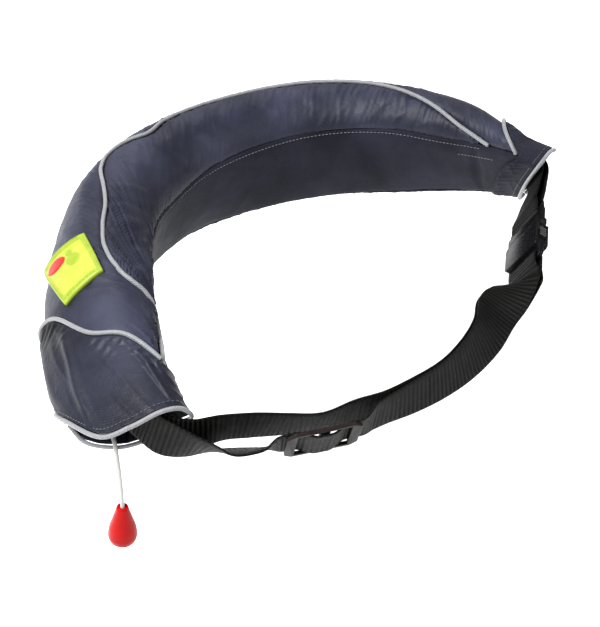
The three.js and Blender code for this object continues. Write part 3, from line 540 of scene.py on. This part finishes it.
def clothLift(turn, girth, seams, seed, calm):
    # how far the cloth stands off its smooth form: swelling, crinkles and puckers at seams
    plain = pouchPoint(turn, girth)
    along, around = lengthsOf(plain), lengthsOf(plain, 1)
    lift = panels["swell"] * (cloud(along / 62, around / 48, seed) - 0.55)
    lift += panels["crinkle"] * (1 - calm) * (creases(along / 17 + around / 40, around / 34, seed + 3) - 0.5)
    gathered = panels["slack"] + panels["gathered"] * ease(*panels["gatheredTurns"], turn)
    pitch = panels["puckerPitch"]
    for seam, reach, strength in seams:
        away = np.abs(girth - seam(turn)) / girthPerMm(turn, girth)
        fold = creases(along / pitch + 0.35 * away / pitch + 0.6 * cloud(along / 30, away / 30, seed + 5),
                       away / 46, seed + 7)
        fade = np.exp(-(away / reach) ** 1.3) * ease(0, 5, away)
        lift += panels["pucker"] * strength * fade * (fold - 0.35) * 1.7
        pleated = pleats(along, away, seed + 9, panels["pleatPitch"], reach, 0.25) - 0.12
        lift += panels["pleat"] * strength * gathered * pleated
        dip = panels["pipingDip" if seam is coverSeam else "seamDip"]
        lift -= dip * np.exp(-(away / panels["dipWide"]) ** 2)
    return np.clip(lift, panels["lowest"], panels["highest"])


def pressedFolds(points):
    total = np.zeros(points.shape[:2])
    for turn, girth, toTurn, toGirth, high, wide in panels["folds"]:
        start, end = pouchPoint(turn, girth), pouchPoint(toTurn, toGirth)
        way = end - start
        share = ((points - start) @ way) / (way @ way)
        nearest = start + np.clip(share, 0, 1)[..., None] * way
        bow = 2.5 * np.sin(np.pi * np.clip(share, 0, 1))
        away = np.maximum(np.linalg.norm(points - nearest, axis=-1) - bow, 0)
        total += high * np.exp(-(away / wide) ** 2) * ease(-0.3, 0.25, share) * (1 - ease(0.75, 1.3, share))
    return total


def makePanels():
    rightEdge, leftEdge, tuck = edgeOf("rightHem"), edgeOf("leftHem"), pouch["hemTuck"]
    hems = [lambda girth: rightEdge(girth) - tuck, lambda girth: leftEdge(girth) + tuck]
    firstTurn, lastTurn = coverSeamTable["turn"][0], coverSeamTable["turn"][-1]
    beside = panels["besidePiping"]

    def nudge(turn, girth, distance):
        return girth + distance * girthPerMm(turn, girth)

    def coverTop(turn):
        return nudge(turn, coverSeam(turn), np.where(turn > firstTurn, beside, 0.2))

    def bottom(turn):
        return girthCount + 0 * turn

    def backTop(turn):
        return nudge(turn, backSeam(turn), np.where(turn > lastTurn - 3, -beside, -0.1))

    # name, ends, long edges, counts, seams with how far and how deep their pleats go, seed, cloth, slot, calm
    specs = [
        ("outer_cover", hems, [coverTop, lambda t: nudge(t, bottom(t), -0.2)], "coverRows", "coverColumns",
         [(coverSeam, 24, 1.0), (bottom, 14, 0.6)], 11, coverNylon, "cover_cloth", 0.0),
        ("top_gusset", [lambda g: firstTurn + 5 + 0 * g, lambda g: lastTurn - 4 + 0 * g],
         [lambda t: nudge(t, backSeam(t), 0.1), lambda t: nudge(t, coverSeam(t), -beside)],
         "gussetRows", "gussetColumns", [(coverSeam, 30, 1.35), (backSeam, 16, 0.9)], 23, coverNylon,
         "cover_cloth", 0.0),
        ("back_panel", hems, [lambda t: nudge(t, 0 * t, 0.2), backTop], "backRows", "backColumns",
         [(backSeam, 12, 0.55), (lambda t: 0 * t, 8, 0.3)], 37, backNylon, "back_cloth", 0.6),
    ]
    for name, edges, girths, rows, columns, seams, seed, material, slotName, calm in specs:
        turn, girth = panelSpots(edges, girths, panels[rows], panels[columns])
        lift = clothLift(turn, girth, seams, seed, calm) + pressedFolds(pouchPoint(turn, girth))
        if name != "top_gusset":
            # flat and a little sunk where the sleeves cover it
            perMm = turnPerMm(turn, girth)
            free = np.minimum(ease(-2, 9, (turn - rightEdge(girth)) / perMm),
                              ease(-2, 9, (leftEdge(girth) - turn) / perMm))
            lift = lift * free - 0.4 * (1 - free)
        outer = pouchPoint(turn, girth, lift)
        inner = pouchPoint(turn, girth, lift - pouch["clothWall"])
        thing = dress(sheetFrom(name + "_cloth", outer, inner), material, slotName, name)


makePanels()
print("pouch panels made")


# The stuffed bladder inside

bladder = {"from": 9, "to": 172, "inset": 5.2, "rings": 150, "sides": 72, "folds": 1.4}


def makeBladder():
    turn, girth = np.meshgrid(np.linspace(bladder["from"], bladder["to"], bladder["rings"]),
                              np.linspace(0, girthCount, bladder["sides"], endpoint=False), indexing="ij")
    lift = -bladder["inset"] + bladder["folds"] * (creases(turn / 5, girth / 1.7, 51) - 0.8)
    rings = pouchPoint(turn, girth, lift)
    middle = rings.mean(1, keepdims=True)
    shares = np.array([0.15, 0.45, 0.75, 0.93])[:, None, None]
    every = np.concatenate([middle[0] + (rings[0] - middle[0]) * shares, rings,
                            middle[-1] + (rings[-1] - middle[-1]) * shares[::-1]])
    thing = meshFrom("folded_bladder_pad", every.reshape(-1, 3), roundFaces(len(every), bladder["sides"]))
    faceOutward(thing.data)
    dress(thing, bladderCloth, "bladder_cloth", "folded_bladder")


makeBladder()
print("bladder made")


# End sleeves

sleeveLook = {"rows": 110, "columns": 230, "crinkle": 0.7, "pleat": 2.4, "pleatPitch": 8.5, "lowest": -0.6,
              "highest": 3.0}
leftFolds = {"girth": [8.9, 8.2, 7.1, 6.5, 6.15, 10.1, 2.2], "wide": [0.16, 0.22, 0.28, 0.12, 0.1, 0.3, 0.4],
             "high": [2.8, -2.2, -1.8, 2.4, -2.0, 1.8, 0.8], "skew": [0.5, 0.4, -0.3, -0.6, -0.5, 0.2, 0.1]}
rightFolds = {"girth": [3.3, 4.4, 5.0, 5.8, 2.0, 8.5], "wide": [0.22, 0.18, 0.2, 0.25, 0.3, 0.5],
              "high": [1.4, -1.6, 1.2, -0.9, -0.8, 1.0], "skew": [0.4, 0.5, 0.3, 0.2, 0.2, 0.1]}


def makeSleeve(name, hem, mouth, folds, seed, material):
    rows, columns = sleeveLook["rows"], sleeveLook["columns"]
    a, girth = np.meshgrid(np.linspace(0, 1, rows + 1),
                           np.linspace(0, girthCount, columns, endpoint=False), indexing="ij")
    turn = edgeOf(hem)(girth) * (1 - a) + edgeOf(mouth)(girth) * a
    lift = 0 * turn
    for middle, wide, high, skew in zip(folds["girth"], folds["wide"], folds["high"], folds["skew"]):
        away = (girth - middle - skew * (a - 0.5) + girthCount / 2) % girthCount - girthCount / 2
        lift += high * np.exp(-(away / wide) ** 2) * ease(0, 0.3, a) * (1 - 0.7 * ease(0.75, 1, a))
    plain = pouchPoint(turn, girth)
    fromHem, around = lengthsOf(plain), lengthsOf(plain, 1)
    pleated = pleats(around, fromHem, seed, sleeveLook["pleatPitch"], 20, -0.3) - 0.15
    lift += sleeveLook["pleat"] * pleated * ease(0, 4, fromHem)
    lift += sleeveLook["crinkle"] * (creases(girth * 1.9 + 2 * a, a * 2.2, seed) - 0.5) * 2 * ease(0, 0.15, a)
    lift += 0.8 * (cloud(girth * 0.8, a * 1.5, seed + 2) - 0.5)
    lift = np.clip(lift, sleeveLook["lowest"], sleeveLook["highest"])
    base = sleeves["seat"]
    outer = pouchPoint(turn, girth, base + pouch["clothWall"] + lift)
    inner = pouchPoint(turn, girth, base + lift)
    thing = dress(sheetFrom(name + "_cloth", outer, inner, True), material, "cover_cloth", name)


makeSleeve("left_sleeve", "leftHem", "leftMouth", leftFolds, 61, sleeveNylon)
makeSleeve("right_sleeve", "rightHem", "rightMouth", rightFolds, 67, backNylon)
print("sleeves made")


# Piping and stitches

pipingLook = {"aside": 0.96, "sunk": 1.32, "overHem": 0.95, "gap": 1.5, "hemEnd": 12.5, "mouth": (-1, 11.85)}
stitchLook = {"long": 2.3, "gap": 1.3, "thick": 0.55, "fromSeam": 3.6, "endRow": 13, "fromMouth": 4.2,
              "proud": 0.35, "seamTurns": (7, 166), "endTurns": (2.5, 15)}


def pipingPath(edge, way, proud, start, end):
    # a run beside the edge of a sleeve, on the side that way gives
    girth = np.linspace(start, end, 400)

    def onEdge(at, height):
        return pouchPoint(edge(at), at, height)

    along = unit(onEdge(girth + 0.1, proud) - onEdge(girth - 0.1, proud))
    raised = onEdge(girth, proud + 1) - onEdge(girth, proud)
    aside = unit(np.cross(raised, along))
    return onEdge(girth, proud) + aside * way * (pouch["piping"] / 2 + pipingLook["aside"])


def makePiping():
    half = pouch["piping"] / 2
    endTurn = float(edgeOf("leftHem")(coverSeam(np.array(180.0))))
    endTurn -= (pouch["piping"] + pipingLook["gap"]) * float(turnPerMm(np.array(endTurn), np.array(5.0)))
    turn = np.linspace(coverSeamTable["turn"][0] + 1.5, endTurn, 900)  # from clear of the right sleeve
    wander = 0.25 * (cloud(turn * 1.3, turn * 0, 71) - 0.5)
    longPath = pouchPoint(turn, coverSeam(turn), half - pipingLook["sunk"] + wander)
    dress(tubeFrom("long_piping_cord", longPath, pouch["piping"]), pipingThread, "piping", "long_piping")
    hemProud = half + pipingLook["overHem"]
    mouthProud = sleeves["seat"] + pouch["clothWall"] / 2
    for name, edge, way, proud, start, end in (
            ("left_hem_piping", "leftHem", -1, hemProud, 5.9, pipingLook["hemEnd"]),
            ("right_hem_piping", "rightHem", 1, hemProud, 4.2, pipingLook["hemEnd"]),
            ("left_mouth_piping", "leftMouth", 1, mouthProud, *pipingLook["mouth"]),
            ("right_mouth_piping", "rightMouth", -1, mouthProud, *pipingLook["mouth"])):
        path = pipingPath(edgeOf(edge), way, proud, start, end)
        dress(tubeFrom(name + "_cord", path, pouch["piping"]), pipingThread, "piping", name)


def stitchRow(name, path, normals, material):
    # short stitches, each a small bent capsule half sunk in the cloth
    path, normals = np.asarray(path), unit(np.asarray(normals))
    run = lengthsOf(path)
    pitch = stitchLook["long"] + stitchLook["gap"]
    points, faces = [], []
    for start in np.arange(1.0, run[-1] - pitch, pitch):
        at = start + stitchLook["long"] * np.array([0, 0.12, 0.5, 0.88, 1])
        middle, raised = between(at, run, path), unit(between(at, run, normals))
        ahead = unit(np.gradient(middle, axis=0))
        across = np.cross(ahead, raised)
        thick = stitchLook["thick"] * np.array([0.25, 0.8, 1, 0.8, 0.25]) / 2
        base = len(points)
        for k in range(5):
            for angle in np.arange(6) * np.pi / 3:
                ring = across[k] * math.cos(angle) + raised[k] * math.sin(angle) * 0.8
                points.append(middle[k] + ring * thick[k] + raised[k] * (0.12 if 0 < k < 4 else -0.15))
        for k in range(4):
            for j in range(6):
                nextJ = (j + 1) % 6
                faces.append([base + k * 6 + j, base + (k + 1) * 6 + j, base + (k + 1) * 6 + nextJ,
                              base + k * 6 + nextJ])
        faces.append([base + j for j in range(6)])
        faces.append([base + 4 * 6 + j for j in range(5, -1, -1)])
    return dress(meshFrom(name, np.array(points), faces), material, "piping")


def surfaceRow(turn, girth, proud):
    path = pouchPoint(turn, girth, proud)
    return path, pouchPoint(turn, girth, proud + 1) - path


def makeStitches():
    turn = np.linspace(*stitchLook["seamTurns"], 500)
    girth = backSeam(turn)
    girth -= stitchLook["fromSeam"] * girthPerMm(turn, girth)
    stitchRow("seam_stitches", *surfaceRow(turn, girth, 0.6), paleStitch)
    turn = np.linspace(*stitchLook["endTurns"], 60)
    girth = backSeam(turn) - stitchLook["endRow"] * girthPerMm(turn, backSeam(turn))
    stitchRow("end_stitches", *surfaceRow(turn, girth, stitchLook["proud"]), paleStitch)
    proud = sleeves["seat"] + pouch["clothWall"] + stitchLook["proud"]
    girth = np.linspace(*pipingLook["mouth"], 400)
    for end, way in (("left", -1), ("right", 1)):
        turn = edgeOf(end + "Mouth")(girth)
        turn += way * stitchLook["fromMouth"] * turnPerMm(turn, girth)
        stitchRow(end + "_mouth_stitches", *surfaceRow(turn, girth, proud), stitchThread)


makePiping()
makeStitches()
print("piping and stitches made")


# Badge, moulded in three colours and sewn on

badge = {
    "turn": [146.6, 144.2, 163.6, 160.2], "girth": [7.0, 9.2, 8.35, 6.85],  # of its four corners
    "steps": 90, "wall": 2.0, "sunk": 1.4, "rim": 1.3, "rimWide": 0.085, "rounding": 0.9, "stitchIn": 0.045,
    "drop": (0.27, 0.7, 0.12, 0.26), "dropHigh": 0.9,
    "discs": [(0.42, 0.36, 0.13), (0.24, 0.36, 0.07)], "discHigh": 0.7,
}


def badgeSpot(column, s, t):
    # a value between those of the badge's four corners
    a, b, c, d = badge[column]
    return (a * (1 - t) + b * t) * (1 - s) + (d * (1 - t) + c * t) * s


def makeBadge():
    share = np.linspace(0, 1, badge["steps"])
    s, t = np.meshgrid(share, share, indexing="ij")
    edge = np.minimum(np.minimum(s, 1 - s), np.minimum(t, 1 - t))
    high = badge["wall"] + badge["rim"] * (1 - ease(badge["rimWide"], badge["rimWide"] + 0.02, edge))
    high -= badge["rounding"] * (1 - ease(0, 0.025, edge))
    x, y, wide, long = badge["drop"]
    dropShape = np.hypot((s - x) / wide, (t - y) / long * np.where(t < y, 1.0, 1.25))
    high += badge["dropHigh"] * (1 - ease(0.86, 1.0, dropShape))
    discShape = np.full_like(s, 9.0)
    for dx, dy, radius in badge["discs"]:
        discShape = np.minimum(discShape, np.hypot(s - dx, t - dy) / radius)
    high += badge["discHigh"] * (1 - ease(0.86, 1.0, discShape))
    turn, girth = badgeSpot("turn", s, t), badgeSpot("girth", s, t)
    seat = pouch["seat"] + 0.2
    outer = pouchPoint(turn, girth, seat + high)
    inner = pouchPoint(turn, girth, seat - badge["sunk"] + 0 * high)
    thing = sheetFrom("badge_rubber", outer, inner)
    for one in (limeRubber, yellowRubber, redRubber):
        thing.data.materials.append(one)
    field = np.where(edge > badge["rimWide"] + 0.012, 1, 0)
    field = np.where(dropShape < 0.97, 2, field)
    field = np.where(discShape < 0.97, 0, field)
    squares = field[:-1, :-1].reshape(-1)
    index = np.zeros(len(thing.data.polygons), dtype=np.int32)
    index[:len(squares)] = squares
    thing.data.polygons.foreach_set("material_index", index)
    dress(thing, None, "badge", "badge")
    low, top = badge["stitchIn"], 1 - badge["stitchIn"]
    corners = [(low, low), (top, low), (top, top), (low, top), (low, low)]
    u, v = np.concatenate([np.linspace(a, b, 60) for a, b in zip(corners, corners[1:])]).T
    proud = seat + badge["wall"] + badge["rim"] + 0.1
    row = surfaceRow(badgeSpot("turn", u, v), badgeSpot("girth", u, v), proud)
    stitchRow("badge_stitches", *row, limeRubber)


makeBadge()
print("badge made")


# Belt webbing

webbing = {"wide": 38, "wall": 2, "ribDepth": 0.8, "selvedge": 2.6, "step": 0.72, "clear": 0.6}
belt = {
    "from": -185,
    "turn": [-186, -176, -168, -163.5, -159, -155, -150, -144, -136.5, -129, -121, -113, -103, -92, -80, -70,
             -61, -53],
    "reach": [1.1, 1.145, 1.185, 1.2, 1.158, 1.09, 1.03, 0.965, 0.917, 0.865, 0.818, 0.788, 0.76, 0.727,
              0.693, 0.666, 0.683, 0.724],
    "lift": [0.2, 0.4, 0.5, 0.42, 0.32, 0.27, 0.2, 0.06, 0, 0, -0.03, -0.015, 0.01, 0.03, 0.04, 0.04, 0.025,
             0],
    "lean": [148, 152, 158, 168, 180, 190, 192, 196, 201, 192, 186, 178, 171.5, 159.5, 142, 116.5, 83, 46],
    "apart": [0.09, 0.09, 0.1, 0.12, 0.2, 0.36, 0.4, 0.34, 0.3, 0.3, 0.14, 0.09, 0.075, 0.08, 0.09, 0.105,
              0.12, 0.15],
    "drop": [0, 0, 0, 0, 0.08, 0.24, 0.24, 0.08, 0, 0, 0, 0, 0, 0, 0, 0, 0, 0],
    "curl": [0, 0, 0, 2, 14, 34, 34, 8, 0, 0, 0, 0, 0, 0, 0, 0, 0, 0],
}
loop = {
    "from": 6,
    "turn": [-21, -15, -9, -3, 9], "reach": [0.814, 0.889, 0.977, 0.998, 0.99],
    "lift": [-0.03, -0.06, -0.08, -0.16, -0.34], "lean": [22, 20, 13, 4, 0],
    "apart": [0.2, 0.17, 0.13, 0.11, 0.09], "drop": [0] * 5, "curl": [0] * 5,
}
slider = {"turn": -136.9, "long": 59, "wall": 3.2, "bar": 8, "blend": 16}
buckle = {"lean": 29, "wide": 47, "bar": 5, "barWall": 4, "slot": 7, "tongue": 23, "shell": 30, "block": 11,
          "barRounding": 0.55}


def webWays(out, lean):
    # the ways across the webbing and out of its face
    angle = np.radians(lean)[..., None]
    up = np.array([0, 0, 1.0])
    return up * np.cos(angle) + out * np.sin(angle), -out * np.cos(angle) + up * np.sin(angle)


def layerSpots(table, turn, side):
    # one layer of webbing: side 1 is the outer layer and -1 the inner one
    point, ahead, out = middleLine(table, turn, webbing["wide"])
    lean = readColumn(table, "lean", turn)
    face = webWays(out, lean)[1]
    point = point + face * (side * readColumn(table, "apart", turn) * webbing["wide"] / 2)[..., None]
    if side > 0:
        point[..., 2] -= readColumn(table, "drop", turn) * webbing["wide"]
        lean = lean + readColumn(table, "curl", turn)
    wide, face = webWays(out, lean)
    return point, wide, face * side, ahead


def sliderFrame():
    point, wide, face, ahead = [row[0] for row in layerSpots(belt, np.array([slider["turn"]]), 1)]
    return point, ahead, wide, face, slider["wall"] / 2 + webbing["wall"] / 2 + webbing["clear"]


def throughSlider(point, wide):
    # draws the outer layer straight through the slider and up over its middle bar
    middle, ahead, width, face, rise = sliderFrame()
    along = (point - middle) @ ahead
    hold = 1 - ease(slider["long"] / 2, slider["long"] / 2 + slider["blend"], np.abs(along))
    point = point + (middle + ahead * along[:, None] - point) * hold[:, None]
    hump = 1 - ease(slider["bar"] * 0.6, slider["long"] / 2 - slider["bar"], np.abs(along))
    point = point + face * (2 * rise * hump)[:, None]
    return point, unit(wide + (width - wide) * hold[:, None])


def buckleFrame():
    first, last = middleLine(belt, belt["turn"][-1], 0)[0], middleLine(loop, loop["turn"][0], 0)[0]
    ahead = unit(first - last)
    out = np.array([-ahead[1], ahead[0], 0])
    wide, face = webWays(out, np.float64(buckle["lean"]))
    return (first + last) / 2, ahead, wide.ravel(), face.ravel()


def roundBar(way):
    # the webbing's turn round a bar of the buckle, way 1 for the socket and -1 for the plug
    middle, ahead, wide, face = buckleFrame()
    plugEnd = -(buckle["tongue"] / 2 + buckle["block"] + buckle["slot"] + buckle["bar"])
    socketEnd = buckle["shell"] - buckle["tongue"] / 2 + buckle["slot"] + buckle["bar"]
    bar = socketEnd - buckle["bar"] / 2 if way > 0 else plugEnd + buckle["bar"] / 2
    radius = buckle["barWall"] / 2 + webbing["wall"] / 2 + webbing["clear"]
    reach = buckle["bar"] / 2 + webbing["wall"] / 2 + webbing["clear"]
    angle = np.radians(np.linspace(-82, 82, 23))
    rounding = buckle["barRounding"]
    along = np.abs(np.cos(angle)) ** rounding * reach
    rise = np.sign(np.sin(angle)) * np.abs(np.sin(angle)) ** rounding * radius
    along = np.concatenate([[-10, -3], along, [-3, -10]])
    rise = np.concatenate([[-radius, -radius], rise, [radius, radius]])
    turned = np.concatenate([np.radians([-90, -90]), angle, np.radians([90, 90])])
    point = middle + ahead * (bar - way * along)[:, None] + face * rise[:, None]
    normal = face * np.sin(turned)[:, None] - ahead * way * np.cos(turned)[:, None]
    return point, np.repeat(wide[None], len(point), 0), normal


def webbingFrom(name, point, wide, face, node):
    # ribbed webbing along a line of spots, evenly stepped
    run = lengthsOf(point)
    at = np.linspace(0, run[-1], int(run[-1] / webbing["step"]))

    def evened(rows, soften):
        kernel = np.ones(soften) / soften
        padded = np.pad(between(at, run, rows), ((soften // 2, soften // 2), (0, 0)), mode="edge")
        return np.stack([np.convolve(padded[:, k], kernel, "valid") for k in range(3)], -1)

    point, wide, face = evened(point, 3), evened(wide, 9), evened(face, 5)
    ahead = unit(np.gradient(point, axis=0))
    wide = unit(wide - ahead * (wide * ahead).sum(1)[:, None])
    normal = np.cross(ahead, wide)
    normal *= np.sign((normal * face).sum(1))[:, None]
    half, edge = webbing["wide"] / 2, webbing["selvedge"]
    across = np.array([-half, -half + 0.5, -half + edge - 0.3, -half + edge, -half * 0.45, 0, half * 0.45,
                       half - edge, half - edge + 0.3, half - 0.5, half])
    rib = webbing["ribDepth"] * (np.abs(np.sin(np.pi * at / ribPitch)) ** 0.55 - 0.75)
    wave = 0.25 * (cloud(at / 35, 0 * at, 83) - 0.5)
    level = np.ones(len(across)) * webbing["wall"] / 2
    level[[0, -1]] = 0.25
    level[[1, -2]] = webbing["wall"] / 2 * 0.86
    ribbed = np.zeros(len(across))
    ribbed[3:8] = 1
    high = level[None] + (rib + wave)[:, None] * ribbed[None]
    grain = 0.18 * (cell(np.floor(at / 0.9), 0 * at, 5) - 0.5)
    frayed = np.sign(across) * (np.abs(across) > half - 0.6)  # only the outermost threads
    middle = point[:, None] + wide[:, None] * (across + grain[:, None] * frayed)[..., None]
    raised = normal[:, None] * high[..., None]
    thing = sheetFrom(name, middle + raised, middle - raised, runs=at)
    dress(thing, blackWebbing, "webbing", node)


def strapFrom(name, inner, bar, outer, node):
    # along the inner layer, round the bar and back along the outer layer
    webbingFrom(name, *(np.concatenate([inner[k], bar[k], outer[k][::-1]]) for k in range(3)), node)


def makeWebbing():
    turn = np.arange(belt["from"], belt["turn"][-1] - 0.01, 0.5)
    point, wide, face, _ = layerSpots(belt, turn, 1)
    outer = (*throughSlider(point, wide), face)
    strapFrom("belt_webbing_strap", layerSpots(belt, turn, -1), roundBar(1), outer, "belt_webbing")
    turn = np.arange(loop["from"], loop["turn"][0] - 0.01, -0.5)
    inner, outer = layerSpots(loop, turn, -1), layerSpots(loop, turn, 1)
    strapFrom("loop_webbing_strap", inner, roundBar(-1), outer, "loop_webbing")


makeWebbing()
print("webbing made")


# Slider and buckle

hardware = {"sliderEdge": 0.6, "buckleEdge": 0.55, "grips": [-1.5, 1.2, 3.9, 6.6], "grip": (1.3, 1.4, 6.2),
            "gripHigh": 0.55, "gripEdge": 0.3, "smoothUpTo": 38, "flatUpTo": 0.02, "sharpFrom": 0.5}


def smoothed(name, mesh):
    thing = link(name, mesh)
    mesh.polygons.foreach_set("use_smooth", [True] * len(mesh.polygons))
    mesh.set_sharp_from_angle(angle=math.radians(hardware["smoothUpTo"]))
    return thing


def roundedCopy(node, name, material, slotName, edge):
    # the moulded part with softened edges
    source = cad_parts[node]
    box = bmesh.new()
    box.from_mesh(source.data)
    bmesh.ops.remove_doubles(box, verts=box.verts, dist=1e-6)
    bmesh.ops.dissolve_limit(box, angle_limit=hardware["flatUpTo"], verts=box.verts, edges=box.edges)
    sharp = [one for one in box.edges
             if len(one.link_faces) == 2 and one.calc_face_angle(0) > hardware["sharpFrom"]]
    bmesh.ops.bevel(box, geom=sharp, offset=edge * mm, segments=3, profile=0.5, affect="EDGES",
                    clamp_overlap=True)
    mesh = bpy.data.meshes.new(name)
    box.to_mesh(mesh)
    box.free()
    thing = smoothed(name, mesh)
    thing.matrix_world = source.matrix_world.copy()
    return dress(thing, material, slotName, node)


def smallBlocks(name, blocks, ways, middle, material, slotName, edge):
    # rounded blocks, each as centre and size along, across and out of the part's frame
    box = bmesh.new()
    for centre, size in blocks:
        made = bmesh.ops.create_cube(box, size=1)["verts"]
        for vert in made:
            local = [centre[k] + vert.co[k] * size[k] for k in range(3)]
            vert.co = Vector((middle + ways[0] * local[0] + ways[1] * local[1] + ways[2] * local[2]) * mm)
    bmesh.ops.recalc_face_normals(box, faces=box.faces)
    bmesh.ops.bevel(box, geom=list(box.edges), offset=edge * mm, segments=2, profile=0.5, affect="EDGES")
    mesh = bpy.data.meshes.new(name)
    box.to_mesh(mesh)
    box.free()
    return dress(smoothed(name, mesh), material, slotName)


def makeHardware():
    roundedCopy("strap_slider", "strap_slider_moulding", brownPlastic, "slider", hardware["sliderEdge"])
    for node in ("buckle_plug", "buckle_socket"):
        roundedCopy(node, node + "_moulding", blackPlastic, "buckle", hardware["buckleEdge"])
    middle, *ways = buckleFrame()
    aside = buckle["wide"] / 2 + hardware["gripHigh"]
    blocks = [((along, side * aside, 0), hardware["grip"]) for side in (-1, 1) for along in hardware["grips"]]
    smallBlocks("buckle_grips", blocks, ways, middle, gripPaintedHighlight, "buckle", hardware["gripEdge"])


makeHardware()
print("slider and buckle made")


# Pull cord and handle

cord = {
    "size": 3.5,
    "route": [
        (-255, -3.6, -15.2), (-258, -11.6, -17.2), (-261, -19.6, -19.2), (-263.5, -25.6, -20.7),
        (-265.5, -30.1, -22.2), (-267, -33.1, -25.2), (-267.7, -34.6, -29.2), (-268, -35.2, -34.2),
        (-268.1, -35.4, -40), (-268.2, -35.5, -47), (-268.3, -35.4, -54), (-268.4, -35.3, -61),
        (-268.6, -35.2, -68), (-268.7, -35.1, -75), (-268.9, -35, -82), (-269.1, -34.8, -89),
        (-269.4, -34.6, -95), (-269.8, -34.3, -101),
    ],
}
handle = {
    "long": 47, "wide": 25, "top": 0.13, "sides": 48,
    "profile": [(-0.13, 0), (-0.13, 0.082), (0, 0.082), (0.004, 0.17), (-0.02, 0.2), (-0.12, 0.24),
                (-0.34, 0.34), (-0.56, 0.45), (-0.76, 0.5), (-0.87, 0.47), (-0.96, 0.32), (-1, 0)],
}


def makeCord():
    route = spline(cord["route"], 160)
    handlePiece = makeHandle()
    thing = tubeFrom("pull_cord_braid", route, cord["size"], 16)
    dress(thing, cordBraid, "cord", "pull_cord")


def makeHandle():
    before, end = np.array(cord["route"][-2]), np.array(cord["route"][-1])
    down = unit(end - before)
    top = end + down * (pouch["seat"] - handle["long"] * handle["top"])
    side = unit(np.cross(down, [0.0, 1.0, 0.2]))
    other = np.cross(down, side)
    profile = np.array(handle["profile"]) * (handle["long"], handle["wide"])
    # the collar stays as it is, and the drop below it is divided and smoothed
    share = np.arange(1, 8)[:, None] / 7
    drop = [start + (end - start) * share for start, end in zip(profile[3:], profile[4:])]
    rows = np.concatenate([profile[:4], *drop])
    for _ in range(3):
        rows[5:-1] = (rows[4:-2] + 2 * rows[5:-1] + rows[6:]) / 4
    angle = np.linspace(0, 2 * np.pi, handle["sides"], endpoint=False)[:, None]
    ring = side * np.cos(angle) + other * np.sin(angle)
    points = top - down * rows[1:-1, :1, None] + ring * rows[1:-1, 1:, None]
    thing = meshFrom("pull_handle_drop", points.reshape(-1, 3), roundFaces(len(points), handle["sides"]))
    faceOutward(thing.data, merge=True)
    return dress(thing, redGloss, "handle", "pull_handle")


makeCord()
print("cord and handle made")


# Floor and light

studio = {
    "floor": -0.42, "ambient": 0.5,
    "lights": {  # where each hangs, its two sides and its power
        "key": ((-1.3, 0.2, 1.7), (1.1, 0.8), 135), "fill": ((0.9, -1.4, 0.9), (1.6, 1.0), 22),
        "rim": ((0.3, 1.6, 1.3), (1.8, 0.8), 20),
    },
}


def areaLight(name, place, size, power):
    # turned to the middle of the pack
    data = bpy.data.lights.new(name, "AREA")
    data.shape = "RECTANGLE"
    data.size, data.size_y = size
    data.energy = power
    lamp = bpy.data.objects.new(name, data)
    lamp.location = place
    lamp.rotation_euler = (-Vector(place)).to_track_quat("-Z", "Y").to_euler()
    bpy.context.scene.collection.objects.link(lamp)


def makeStudio():
    box = bmesh.new()
    bmesh.ops.create_grid(box, x_segments=8, y_segments=8, size=6)
    mesh = bpy.data.meshes.new("floor")
    box.to_mesh(mesh)
    box.free()
    floor = link("floor", mesh)
    floor.location.z = studio["floor"]
    paint = Paint("paleFloor", (0.9, 0.9, 0.9), 0.9)
    paint.colours(paint.noise(0.7, detail=2), [(0.3, (0.93, 0.93, 0.93)), (0.7, (0.96, 0.96, 0.96))])
    floor.data.materials.append(paint.material)
    world = bpy.data.worlds.new("studio")
    world.use_nodes = True
    sky = world.node_tree.nodes["Background"]
    sky.inputs["Color"].default_value = (1, 1, 1, 1)
    sky.inputs["Strength"].default_value = studio["ambient"]
    bpy.context.scene.world = world
    for name, (place, size, power) in studio["lights"].items():
        areaLight(name, place, size, power)
    bpy.context.scene.view_settings.view_transform = "Standard"


makeStudio()
print("studio made")
